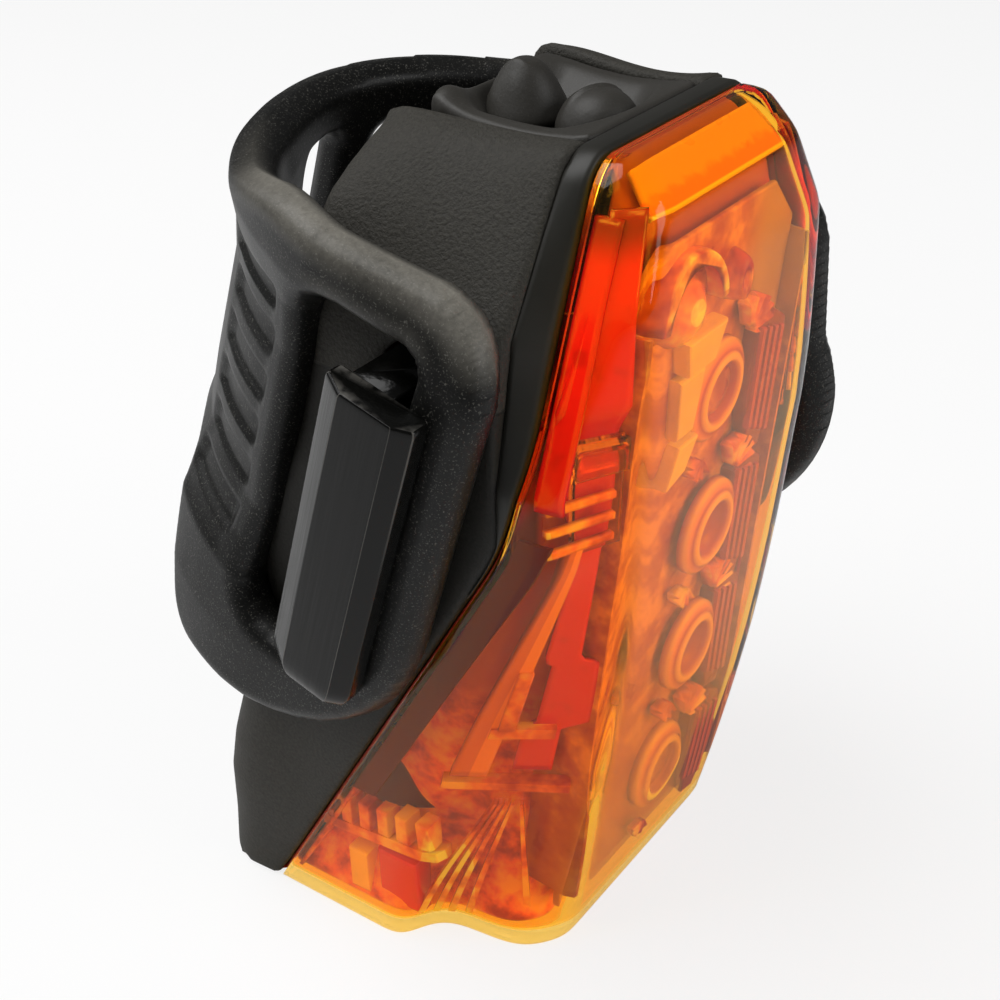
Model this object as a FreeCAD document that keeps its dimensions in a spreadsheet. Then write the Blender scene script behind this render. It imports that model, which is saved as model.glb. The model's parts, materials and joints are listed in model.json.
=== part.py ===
import FreeCAD, Part
import math
import os
import re
from types import SimpleNamespace

import Sketcher
from FreeCAD import Rotation, Vector

# Bike tail light. Millimetres, +Z up, the lens faces -Y, the light stands on its base at Z = 0.
# Mirror pairs are built once and mirrored in X. Three tilted frames hold what isn't upright:
# the back face, the strap with its hooks, and the board with the light emitters.

SIZES = [
    # the case
    ("half_width", 18.7, "half of the body's width"),
    ("case_top", 66.7, "height of the top face"),
    ("case_wall", 1.5, "wall of the rear housing"),
    ("top_inset", 8.8, "how much narrower half of the top is at the lens"),
    ("back_top_inset", 1.3, "how much narrower half of the top gets towards the back"),
    ("lean_in", 20.4, "how far below the top the sides start to lean in at the lens"),
    ("crease_drop", 11.9, "how far below the top the crease between side and shoulder lies"),
    ("shoulder_drop", 4.7, "how far below the top the shoulder's upper edge lies"),
    ("shoulder_inset", 3.3, "how much narrower half of the width is at the shoulder"),
    ("chamfer_depth", 3.1, "depth of the corner facet behind the lens"),
    ("back_foot", 16.2, "where the back face would meet the base"),
    ("back_lean", 14.5, "lean of the back face in degrees"),
    ("heel", 1.8, "height of the heel's round"),
    ("back_round", 4.0, "radius of the back's corners"),
    # the seam between lens and housing
    ("rim_front", 17.0, "distance of the upright seam in front of the origin"),
    ("rim_foot", 9.7, "distance of the seam's foot behind the origin"),
    ("rim_bend", 44.8, "height where the two straight seams would meet"),
    ("rim_bend_radius", 24.0, "radius of the seam's bend"),
    ("seam_gap", 0.4, "width of the seam"),
    ("rim_depth", 2.2, "depth of the black frame behind the seam"),
    ("seal_inset", 0.6, "how far the seal lies inside the outer face"),
    ("seal_width", 0.9, "width of the seal"),
    # the lens
    ("lens_wall", 1.2, "wall of the lens"),
    ("lens_drop", 0.2, "how far the lens ends below the top"),
    ("edge_band", 1.8, "depth of the lens's upright edge band"),
    ("nose_foot", 14.8, "how far the nose stands forward at the base"),
    ("nose_belly", 22.2, "how far the nose stands forward at its fullest"),
    ("belly_drop", 8.7, "how far below the top the nose is fullest"),
    ("bevel_drop", 2.5, "height of the lens's top bevel"),
    ("bevel_front", 21.3, "how far that edge stands forward"),
    ("facet_width", 6.45, "width of the facets beside the front face"),
    ("face_taper", 1.05, "how much narrower half of the front face is at the base"),
    ("face_top_taper", 4.75, "how much narrower half of the front face is at the top"),
    ("face_taper_height", 20.0, "height below which the front face narrows"),
    ("wing_front", 3.5, "where the wing's side ends at the base"),
    ("wing_merge", 42.0, "height where the wing's edge meets the edge band"),
    ("wing_power", 1.6, "how sharply the wing's edge bends"),
    ("valley_height", 17.0, "height of the hollow beside the nose"),
    ("valley_depth", 2.1, "depth of that hollow at the base"),
    ("nose_swell", 1.3, "how far the nose swells beside the hollow"),
    # the top
    ("cover_half", 7.2, "half of the button cover's width"),
    ("cover_front", 14.7, "front end of the button cover"),
    ("cover_thick", 3.3, "thickness of the button cover"),
    ("cover_gap", 0.1, "gap between cover and housing"),
    ("trough_depth", 2.1, "depth of the trough"),
    ("trough_half", 4.4, "half of the trough's width"),
    ("trough_front", 14.1, "front end of the trough"),
    ("trough_back", 1.9, "back end of the trough"),
    ("dip_drop", 0.4, "how far the trough's side edges dip"),
    ("ear_rise", 1.0, "how far the two ears at the back stand up"),
    ("ear_deep", 2.5, "depth of the two ears"),
    ("ear_round", 0.7, "radius of the ears' edges"),
    ("ear_foot_round", 1.5, "radius where the ears rise from the dip"),
    ("dip_round", 6.0, "radius of the dip's front end"),
    ("light_button_at", 10.8, "place of the domed button"),
    ("laser_button_at", 4.9, "place of the peaked button"),
    ("button_radius", 2.8, "radius of both buttons"),
    ("button_neck", 2.3, "radius of the buttons' necks"),
    ("neck_gap", 0.2, "gap round the necks"),
    ("button_lift", 0.7, "how far the buttons' caps are clear of the trough"),
    ("dome_rise", 0.7, "how far the domed button stands up"),
    ("peak_rise", 1.8, "how far the peaked button stands up"),
    ("flange_thick", 0.8, "thickness of the buttons' flanges"),
    ("stop_gap", 0.05, "gap between flange and cover"),
    ("stem_radius", 1.2, "radius of the buttons' stems"),
    ("plunger_radius", 0.9, "radius of the switch plungers"),
    ("plunger_gap", 0.06, "gap round the plungers"),
    ("plunger_drop", 2.1, "how far the plungers end below the cover"),
    ("plunger_play", 0.35, "play between stem and plunger"),
    ("plunger_length", 1.6, "length of the plungers"),
    ("switch_height", 2.2, "height of the switch bodies"),
    ("switch_width", 3.6, "width of the switch bodies"),
    ("switch_drop", 3.1, "how far the switch board lies below the plungers' tops"),
    ("switch_board_half", 6.0, "half of the switch board's width"),
    ("switch_board_front", 13.2, "front end of the switch board"),
    ("switch_board_back", 2.6, "back end of the switch board"),
    ("board_thick", 1.0, "thickness of all boards"),
    # the emitters and their optics, in the leaning frame of their board
    ("led_setback", 13.7, "how far the foot of the emitter board's plane lies behind the nose"),
    ("led_lean", 6.4, "lean of the emitter board in degrees"),
    ("led_board_half", 8.5, "half of the emitter board's width"),
    ("led_board_low", 6.0, "lower end of the emitter board"),
    ("led_board_high", 58.5, "upper end of the emitter board"),
    ("led_low", 12.4, "height of the lowest emitter"),
    ("led_pitch", 12.1, "pitch of the emitters"),
    ("led_size", 2.6, "size of an emitter"),
    ("led_thick", 0.8, "thickness of an emitter"),
    ("optic_front", 5.4, "front of the optic before the board"),
    ("optic_thick", 1.2, "thickness of the optic's plate"),
    ("optic_half", 5.8, "half of the optic's width"),
    ("optic_low", 8.2, "lower end of the optic"),
    ("optic_high", 55.5, "upper end of the optic"),
    ("collimator_front", 3.1, "front radius of a collimator"),
    ("collimator_back", 1.5, "back radius of a collimator"),
    ("side_led_size", 1.6, "size of a side emitter"),
    ("side_led_across", 7.2, "place of the side emitters across the board"),
    # light guides and prisms
    ("guide_thick", 1.4, "thickness of the red guides"),
    ("guide_gap", 0.25, "gap between guide and lens"),
    ("guide_low", 20.0, "lower end of the red guides"),
    ("guide_high", 61.0, "upper end of the red guides"),
    ("guide_edge", 0.18, "where the guides start across the facet, as a share of its width"),
    ("guide_slope", 0.0115, "how fast the guides widen upwards, as a share per millimetre"),
    ("guide_foot", 0.30, "the guides' width at the base, as a share"),
    ("guide_full", 0.86, "the guides' far edge where they are full, as a share"),
    ("guide_end", 3.0, "how much shorter the guides' last stretch ends"),
    ("prism_thick", 3.2, "thickness of the prisms"),
    ("prism_clear", 1.7, "distance of the prisms from the outer face"),
    ("prism_wide", 3.0, "width of the prisms"),
    ("prism_low", 17.0, "lower end of the prisms"),
    ("prism_high", 40.5, "upper end of the prisms"),
    ("prism_low_front", 5.6, "front of the prisms' lower end"),
    ("prism_high_front", 15.4, "front of the prisms' upper end"),
    # the chassis
    ("frame_thick", 1.6, "thickness of the chassis plate"),
    ("frame_half", 10.0, "half of the chassis plate's width"),
    ("frame_low", 3.0, "lower end of the chassis plate"),
    ("frame_high", 56.8, "upper end of the chassis plate"),
    ("shelf_low", 2.4, "underside of the chassis shelf"),
    ("shelf_half", 9.0, "half of the shelf's width between the lasers"),
    ("shelf_step", 6.4, "where the shelf widens"),
    ("shelf_back", 11.6, "back end of the shelf"),
    ("post_radius", 2.1, "radius of the screw posts"),
    ("post_inset", 5.5, "distance of the screw posts from the outer face"),
    ("post_low", 7.0, "height of the lower screw posts"),
    ("post_high", 53.0, "height of the upper screw posts"),
    ("ear_plate", 3.0, "half height of the plate's ears"),
    # screws
    ("screw_radius", 0.95, "radius of the screws' shanks"),
    ("screw_gap", 0.05, "gap round the shanks"),
    ("screw_head", 1.7, "radius of the screws' heads"),
    ("screw_head_thick", 0.9, "thickness of the screws' heads"),
    ("screw_length", 5.0, "length of the screws' shanks"),
    # lasers
    ("laser_radius", 3.0, "radius of the laser barrels"),
    ("laser_length", 10.5, "length of the laser barrels"),
    ("laser_inset", 5.7, "distance of the barrels' lower ends from the outer face"),
    ("laser_front", 1.6, "place of the barrels' lower ends before the origin"),
    ("laser_height", 6.4, "height of the barrels' lower ends"),
    ("laser_splay", 17.0, "splay of the lasers in degrees"),
    ("laser_tilt", 8.0, "backward tilt of the lasers in degrees"),
    ("laser_lens_radius", 2.4, "radius of the line lenses"),
    ("laser_lens_thick", 1.1, "thickness of the line lenses"),
    ("clamp_wall", 1.1, "wall of the laser clamps"),
    ("clamp_gap", 0.05, "gap between clamp and barrel"),
    ("clamp_start", 4.5, "where the clamps start along the barrels"),
    ("clamp_length", 4.0, "length of the laser clamps"),
    ("bar_half", 7.2, "half length of the bar between the clamps"),
    # boards and cell in the leaning frame of the back
    ("board_depth", 7.0, "depth of the main board behind the back face"),
    ("board_half", 9.5, "half of the main board's width"),
    ("board_low", 6.7, "lower end of the main board"),
    ("board_high", 51.0, "upper end of the main board"),
    ("boss_radius", 1.5, "radius of the main board's bosses"),
    ("boss_across", 7.4, "place of the bosses across"),
    ("boss_low", 17.5, "height of the lower bosses"),
    ("boss_high", 47.5, "height of the upper bosses"),
    ("cell_gap", 0.4, "gap between board and cell"),
    ("cell_thick", 5.4, "thickness of the cell"),
    ("cell_half", 9.0, "half of the cell's width"),
    ("cell_low", 21.2, "lower end of the cell"),
    ("cell_high", 45.5, "upper end of the cell"),
    ("cell_round", 1.6, "radius of the cell's edges"),
    ("wire_radius", 0.5, "radius of the cell's wires"),
    ("wire_across", 5.0, "place of the wires across"),
    ("chip_thick", 1.2, "thickness of the chips"),
    # charging socket and its cover
    ("socket_half", 3.8, "half of the socket's width"),
    ("socket_low", 7.3, "underside of the socket"),
    ("socket_tall", 2.8, "height of the socket"),
    ("socket_skin", 0.35, "wall of the socket"),
    ("mouth_depth", 4.6, "depth of the socket's mouth"),
    ("port_gap", 0.7, "gap round the socket"),
    ("cover_plate", 1.2, "thickness of the socket's cover"),
    ("cover_plate_half", 6.5, "half of that cover's width"),
    ("cover_plate_low", 4.4, "lower end of that cover"),
    ("cover_plate_high", 13.2, "height of that cover's hinge"),
    ("cover_plate_gap", 0.25, "gap round that cover"),
    ("hinge_pin", 0.35, "radius of the hinge pin"),
    ("hinge_gap", 0.06, "gap round the hinge pin"),
    ("pin_seat", 0.8, "how far the pin sits in the housing on each side"),
    ("port_wall", 1.8, "wall inside the cover's recess"),
    ("port_border", 1.6, "border of the thick wall round the recess"),
    # seat post pad
    ("pad_half", 11.0, "half of the pad's width"),
    ("pad_low", 20.0, "lower end of the pad"),
    ("pad_high", 57.0, "upper end of the pad"),
    ("pad_proud", 1.6, "how far the pad stands out"),
    ("pad_sunk", 0.9, "how deep the pad is let in"),
    ("pad_gap", 0.1, "gap round the pad"),
    ("saddle_radius", 16.0, "radius of the saddle for the seat post"),
    ("saddle_depth", 1.9, "depth of the saddle"),
    # the strap and its hooks in their leaning frame
    ("strap_lean", 18.0, "lean of the strap and hooks in degrees"),
    ("strap_gap", 0.3, "gap between the strap and the housing"),
    ("strap_thick", 3.6, "thickness of the strap"),
    ("strap_start", 1.0, "front end of the strap"),
    ("strap_turn", 13.0, "where the strap starts to turn round the post"),
    ("strap_low", 19.5, "lower edge of the strap's sides"),
    ("strap_high", 61.3, "upper edge of the strap's left side"),
    ("strap_drop", 2.8, "how much lower the upper edge of the right side is"),
    ("band_low", 33.0, "lower edge of the strap at the back"),
    ("band_high", 56.0, "upper edge of the strap at the back"),
    ("strap_corner", 15.5, "radius of the strap's lower front corners"),
    ("strap_brow", 6.0, "radius of the strap's upper front corners"),
    ("pull_middle", 7.6, "middle of the rounded pull end on the right side"),
    ("pull_height", 35.9, "height of the middle of the pull end"),
    ("pull_round", 15.7, "radius of the pull end"),
    ("strap_top_round", 8.0, "radius of the bends in the strap's upper edge"),
    ("strap_low_round", 4.5, "radius of the strap's lower back corners"),
    ("band_round", 3.0, "radius where the strap's lower edge meets the back band"),
    ("window_front", 6.5, "front of the hook windows"),
    ("window_back", 16.5, "back of the hook windows"),
    ("window_low", 27.6, "lower end of the hook windows"),
    ("window_high", 57.0, "upper end of the hook windows"),
    ("window_round", 3.6, "radius of the windows' back corners"),
    ("window_tight", 1.2, "radius of the windows' front corners"),
    ("rung_shift", 4.6, "how far the rung sits to the right of the middle"),
    ("rung_half", 2.0, "half width of the rung at the back"),
    ("rung_window", 7.5, "width of the back windows"),
    ("rung_low", 38.5, "lower end of the back windows"),
    ("rung_high", 52.0, "upper end of the back windows"),
    ("hook_low", 28.4, "lower end of the hooks"),
    ("hook_high", 54.6, "upper end of the hooks"),
    ("hook_front", 3.8, "front edge of the hooks' bars"),
    ("hook_back", 11.3, "back edge of the hooks' bars"),
    ("hook_thick", 2.4, "thickness of the hooks' bars"),
    ("hook_bevel", 1.2, "bevel of the hooks' bars"),
    ("hook_play", 0.2, "play between strap and hook bar"),
    ("neck_front", 6.8, "front of the hooks' necks"),
    ("neck_back", 10.3, "back of the hooks' necks"),
    ("hook_foot", 1.2, "thickness of the hooks' feet inside the wall"),
    ("foot_low", 31.0, "lower end of the hooks' feet"),
    ("foot_high", 46.0, "upper end of the hooks' feet"),
    ("foot_bite", 0.3, "how far the necks reach into the feet"),
    ("hook_foot_wide", 2.2, "how far the feet stand out beside the necks"),
    ("hook_slot_gap", 0.1, "gap round the necks in the wall"),
]

doc = FreeCAD.newDocument("tail_light")
sheet = doc.addObject("Spreadsheet::Sheet", "dims")
for row, (alias, number, meaning) in enumerate(SIZES, start=1):
    sheet.set(f"A{row}", meaning)
    sheet.set(f"B{row}", str(number))
    sheet.setAlias(f"B{row}", alias)
doc.recompute()

# Sizes that follow from another size: name, the size it hangs on, up or down, by which size.
FOLLOWING = [
    ("top_half", "half_width", "-", "top_inset"),
    ("back_top_half", "top_half", "-", "back_top_inset"),
    ("shoulder_half", "half_width", "-", "shoulder_inset"),
    ("face_half", "half_width", "-", "facet_width"),
    ("face_foot_half", "face_half", "-", "face_taper"),
    ("face_top_half", "face_half", "-", "face_top_taper"),
    ("led_foot", "nose_belly", "-", "led_setback"),
    ("prism_out", "half_width", "-", "prism_clear"),
    ("prism_in", "prism_out", "-", "prism_thick"),
    ("post_across", "half_width", "-", "post_inset"),
    ("shelf_back_half", "post_across", "+", "post_radius"),
    ("laser_across", "half_width", "-", "laser_inset"),
    ("front_corner", "case_top", "-", "lean_in"),
    ("crease", "case_top", "-", "crease_drop"),
    ("shoulder", "case_top", "-", "shoulder_drop"),
    ("lens_top", "case_top", "-", "lens_drop"),
    ("belly_height", "case_top", "-", "belly_drop"),
    ("bevel_height", "lens_top", "-", "bevel_drop"),
    ("cover_floor", "case_top", "-", "cover_thick"),
    ("trough_floor", "case_top", "-", "trough_depth"),
    ("dip_height", "case_top", "-", "dip_drop"),
    ("ear_height", "case_top", "+", "ear_rise"),
    ("button_under", "trough_floor", "+", "button_lift"),
    ("dome_top", "case_top", "+", "dome_rise"),
    ("peak_top", "case_top", "+", "peak_rise"),
    ("plunger_top", "cover_floor", "-", "plunger_drop"),
    ("switch_board_top", "plunger_top", "-", "switch_drop"),
]

ALIASES = {alias for alias, number, meaning in SIZES}
size = SimpleNamespace(**{alias: float(sheet.get(alias)) for alias in ALIASES})
FORMULAS = {alias: f"dims.{alias}" for alias in ALIASES}
for name, base, way, step in FOLLOWING:
    change = getattr(size, step) if way == "+" else -getattr(size, step)
    setattr(size, name, getattr(size, base) + change)
    FORMULAS[name] = f"({FORMULAS[base]} {way} {FORMULAS[step]})"

FAR = 120.0
parts = {}


def formula(text):
    """Write a formula's sizes and heights in the sheet's terms."""
    return re.sub(r"[a-z_]+", lambda m: FORMULAS.get(m[0], m[0]), text)


def bind(thing, prop, text):
    thing.setExpression(prop, formula(text))


def keep(name, thing):
    """Name a finished sub-part after its node."""
    thing.Label = name
    parts[name] = thing
    return thing


# Frames: each is the place of its foot along Y and its lean about X, both as formulas.
UPRIGHT = ("0", "0")
BACK = ("back_foot", "back_lean")
STRAP = ("0", "strap_lean")
EMITTERS = ("-led_foot", "led_lean")


def place(thing, frame, x, y, z, turn="0"):
    """Put a solid at x, y, z of a leaning frame, turned about X by the lean plus a turn."""
    foot, lean = frame
    thing.Placement = FreeCAD.Placement(Vector(0, 0, 0), Rotation(Vector(1, 0, 0), 1))
    bind(thing, "Placement.Base.x", x)
    bind(thing, "Placement.Base.y", f"({foot}) + ({y})*cos(({lean})*1deg) - ({z})*sin(({lean})*1deg)")
    bind(thing, "Placement.Base.z", f"({y})*sin(({lean})*1deg) + ({z})*cos(({lean})*1deg)")
    bind(thing, "Placement.Rotation.Angle", f"({lean}) + ({turn})")


def block(name, x, y, z, frame=UPRIGHT):
    """A box between two formulas on each axis of a frame."""
    box = doc.addObject("Part::Box", name)
    bind(box, "Length", f"({x[1]}) - ({x[0]})")
    bind(box, "Width", f"({y[1]}) - ({y[0]})")
    bind(box, "Height", f"({z[1]}) - ({z[0]})")
    place(box, frame, x[0], y[0], z[0])
    return box


def rod(name, radius, length, x, y, z, along="z", frame=UPRIGHT):
    """A round bar from x, y, z along one axis of a frame."""
    bar = doc.addObject("Part::Cylinder", name)
    bind(bar, "Radius", radius)
    bind(bar, "Height", length)
    if along == "x":
        place(bar, frame, x, y, z)
        bar.setExpression("Placement.Rotation.Angle", None)
        bar.Placement = FreeCAD.Placement(bar.Placement.Base, Rotation(Vector(0, 1, 0), 90))
    else:
        place(bar, frame, x, y, z, "-90" if along == "y" else "0")
    return bar


def fuse(name, shapes):
    joined = doc.addObject("Part::MultiFuse", name)
    joined.Shapes = shapes
    joined.Refine = True
    return joined


def cut(name, base, tools):
    """Take the tools away from the base."""
    tool = tools[0] if len(tools) == 1 else fuse(name + "_tools", tools)
    left = doc.addObject("Part::Cut", name)
    left.Base = base
    left.Tool = tool
    return left


def common(name, shapes):
    shared = doc.addObject("Part::MultiCommon", name)
    shared.Shapes = shapes
    return shared


def group(name, shapes):
    """Separate solids that share one node."""
    gathered = doc.addObject("Part::Compound", name)
    gathered.Links = shapes
    return gathered


def mirrored(name, source):
    """The same piece on the other side."""
    twin = doc.addObject("Part::Mirroring", name)
    twin.Source = source
    twin.Normal = Vector(1, 0, 0)
    return twin


def solid(name, shape):
    """A form whose surfaces are worked out here from the sheet's sizes."""
    feature = doc.addObject("Part::Feature", name)
    feature.Shape = shape
    return feature


def rounded_wire(points, radii):
    """A closed outline with a tangent arc of the given radius at each corner."""
    edges = []
    ends = []
    count = len(points)
    for i, point in enumerate(points):
        before = (points[i - 1] - point).normalize()
        after = (points[(i + 1) % count] - point).normalize()
        half = before.getAngle(after) / 2
        if radii[i] <= 0 or half > math.radians(89.9):
            ends.append((point, point, point))
            continue
        reach = radii[i] / math.tan(half)
        middle = (before + after).normalize()
        top = point + middle * (radii[i] / math.sin(half) - radii[i])
        ends.append((point + before * reach, top, point + after * reach))
    for i, (start, top, end) in enumerate(ends):
        if start != end:
            edges.append(Part.Arc(start, top, end).toShape())
        following = ends[(i + 1) % count][0]
        if (following - end).Length > 1e-6:
            edges.append(Part.LineSegment(end, following).toShape())
    return Part.Wire(edges)


def side_prism(points, radii, x0, x1):
    """An outline in the Y-Z plane carried from x0 to x1."""
    wire = rounded_wire([Vector(x0, y, z) for y, z in points], radii)
    return Part.Face(wire).extrude(Vector(x1 - x0, 0, 0))


def inset(points, gap):
    """Move each side of a closed outline inwards by the gap and meet the sides again."""
    moved = []
    count = len(points)
    for i in range(count):
        here = Vector(*points[i], 0)
        before = (here - Vector(*points[i - 1], 0)).normalize()
        after = (Vector(*points[(i + 1) % count], 0) - here).normalize()
        inward = Vector(-before.y - after.y, before.x + after.x, 0)
        here += inward * (gap / (1 + before.dot(after)))
        moved.append((here.x, here.y))
    return moved


def ruled(sections):
    """A solid with straight rulings from each section to the next."""
    wires = [Part.makePolygon(section + section[:1]) for section in sections]
    return Part.makeLoft(wires, True, True)


# The seam: upright at the top, then a bend, then a straight slant down to the base.
SEAM_SLANT = math.atan2(size.rim_front + size.rim_foot, size.rim_bend)
BEND_REACH = size.rim_bend_radius * math.tan(SEAM_SLANT / 2)


def behind_seam(shift):
    """All space behind the seam, moved back by the shift."""
    front = shift - size.rim_front
    slope = math.tan(SEAM_SLANT)
    low = -10.0
    points = [
        (FAR, low),
        (FAR, FAR),
        (front, FAR),
        (front, size.rim_bend),
        (size.rim_foot + shift - low * slope, low),
    ]
    radii = [0, 0, 0, size.rim_bend_radius, 0]
    return side_prism(points, radii, -FAR, FAR)


def side_half(height):
    """Half of the width at the seam: upright sides that lean in above the front corner."""
    lean = (size.half_width - size.top_half) / (size.case_top - size.front_corner)
    return min(size.half_width, size.top_half + (size.case_top - height) * lean)


def case_section(depth, half_points, gap):
    """The case's outline across the light at one depth, with its walls moved in by the gap."""
    outline = half_points + [(-x, z) for x, z in reversed(half_points)]
    return [Vector(x, depth, z) for x, z in inset(outline, gap)]


def case_block(gap):
    """The case as a solid block, with every wall moved in by the gap."""
    s = size
    front = [(s.half_width, 0), (s.half_width, s.front_corner)]
    front += [(side_half(z), z) for z in (s.crease, s.shoulder, s.case_top)]
    middle_half = side_half(s.shoulder) + 0.4 * (s.shoulder_half - side_half(s.shoulder))
    middle = [(s.half_width, 0), (s.half_width, s.front_corner + 0.5 * (s.crease - s.front_corner))]
    middle += [(s.half_width, s.crease), (middle_half, s.shoulder), (s.top_half, s.case_top)]
    back = [(s.half_width, 0), (s.half_width, s.front_corner + 0.6 * (s.crease - s.front_corner))]
    back += [(s.half_width, s.crease), (s.shoulder_half, s.shoulder), (s.back_top_half, s.case_top)]
    corner = s.chamfer_depth - s.rim_front
    stations = [(-s.rim_front, front), (corner, middle), (s.heel, back), (s.back_foot + 4, back)]
    across = ruled([case_section(depth, half, gap) for depth, half in stations])
    lean = math.radians(s.back_lean)
    face = s.back_foot - gap / math.cos(lean)
    top_back = face - (s.case_top - gap) * math.tan(lean)
    side = [(-s.rim_front - 5, gap), (face - 1.0, gap), (face - s.heel * math.tan(lean), gap + s.heel)]
    side += [(top_back, s.case_top - gap), (-s.rim_front - 5, s.case_top - gap)]
    profile = side_prism(side, [0, 0, 0, s.back_round, 0], -FAR, FAR)
    width = s.half_width - gap
    plan = [Vector(-width, -FAR, -FAR), Vector(width, -FAR, -FAR)]
    plan += [Vector(width, -gap, -FAR), Vector(-width, -gap, -FAR)]
    corners = Part.Face(rounded_wire(plan, [0, 0, s.back_round, s.back_round]))
    corners = corners.extrude(Vector(0, 0, 3 * FAR))
    corners.Placement = FreeCAD.Placement(Vector(0, s.back_foot, 0), Rotation(Vector(1, 0, 0), s.back_lean))
    return across.common(profile).common(corners)


def nose_front(height):
    """How far the nose stands forward: a parabola, a straight brow, then the top bevel."""
    s = size
    if height <= s.belly_height:
        rise = 1 - height / s.belly_height
        return s.nose_foot + (s.nose_belly - s.nose_foot) * (1 - rise * rise)
    if height <= s.bevel_height:
        step = (height - s.belly_height) / (s.bevel_height - s.belly_height)
        return s.nose_belly + (s.bevel_front - s.nose_belly) * step
    step = (height - s.bevel_height) / (s.lens_top - s.bevel_height)
    return s.bevel_front + (s.rim_front + s.edge_band - s.bevel_front) * step


def face_half_at(height):
    """Half of the front face's width, narrower at the base and at the top."""
    s = size
    if height >= s.belly_height:
        step = min(1, (height - s.belly_height) / (s.bevel_height - s.belly_height))
        return s.face_half + (s.face_top_half - s.face_half) * step
    step = min(1, height / s.face_taper_height)
    return s.face_foot_half + (s.face_half - s.face_foot_half) * step


def wing_edge(height):
    """How far the lens's side runs forward: a power curve up to the edge band."""
    reach = size.rim_front + size.edge_band
    step = min(1, height / size.wing_merge)
    return size.wing_front + (reach - size.wing_front) * step**size.wing_power


def lens_corners(height, gap):
    """Corners of the lens's wing edge and front face on the right, with the walls moved in."""
    wing = (side_half(height), -wing_edge(height))
    face = (face_half_at(height), -nose_front(height))
    back = (wing[0], LENS_BACK)
    right = [face, wing, back]
    moved = inset([(-x, y) for x, y in reversed(right)] + right, gap)
    return Vector(*moved[4], 0), Vector(*moved[3], 0)


def lens_section(height, gap):
    """Half outline of the lens: side, wing edge, hollow, swell and edge of the front face."""
    edge, ridge = lens_corners(height, gap)
    along = ridge - edge
    outward = Vector(-along.y, along.x, 0).normalize()
    fade = max(0, 1 - height / size.valley_height)
    hollow = edge + along * 0.26 - outward * (size.valley_depth * fade)
    swell = edge + along * 0.74 + outward * (size.nose_swell * fade)
    return [(p.x, p.y) for p in (Vector(edge.x, LENS_BACK, 0), edge, hollow, swell, ridge)]


LENS_BACK = size.rim_foot + 6
LENS_HEIGHTS = sorted([
    0,
    size.valley_height / 2,
    size.valley_height,
    0.5 * (size.valley_height + size.wing_merge) - 3,
    0.5 * (size.valley_height + size.wing_merge) + 5,
    size.wing_merge,
    size.front_corner,
    0.5 * (size.front_corner + size.belly_height) - 2,
    size.belly_height,
    size.bevel_height,
    size.lens_top,
])


def lens_block(gap):
    """The lens as a solid block with its walls moved in by the gap, open towards the back."""
    sections = []
    for height in LENS_HEIGHTS:
        level = min(max(height, gap), size.lens_top - gap)
        half = lens_section(height, gap)
        outline = [(-x, y) for x, y in half] + list(reversed(half))
        sections.append([Vector(x, y, level) for x, y in outline])
    return ruled(sections)


def facet_point(height, share, depth):
    """A point on the lens's side facet, from face edge to wing edge, moved inwards by a depth."""
    edge, ridge = lens_corners(height, 0)
    along = edge - ridge
    inward = Vector(-along.y, along.x, 0).normalize()
    point = ridge + along * share + inward * depth
    return Vector(point.x, point.y, height)


def tube(points, radius, bend):
    """A round wire along straight runs joined by bends."""
    start = points[0]
    edges = []
    for before, corner, after in zip(points, points[1:], points[2:]):
        inward = (before - corner).normalize()
        onward = (after - corner).normalize()
        half = inward.getAngle(onward) / 2
        reach = bend / math.tan(half)
        middle = (inward + onward).normalize()
        top = corner + middle * (bend / math.sin(half) - bend)
        edges.append(Part.LineSegment(start, corner + inward * reach).toShape())
        edges.append(Part.Arc(corner + inward * reach, top, corner + onward * reach).toShape())
        start = corner + onward * reach
    edges.append(Part.LineSegment(start, points[-1]).toShape())
    ring = Part.Wire(Part.Circle(points[0], points[1] - points[0], radius).toShape())
    return Part.Wire(edges).makePipeShell([ring], True, False)


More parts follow.
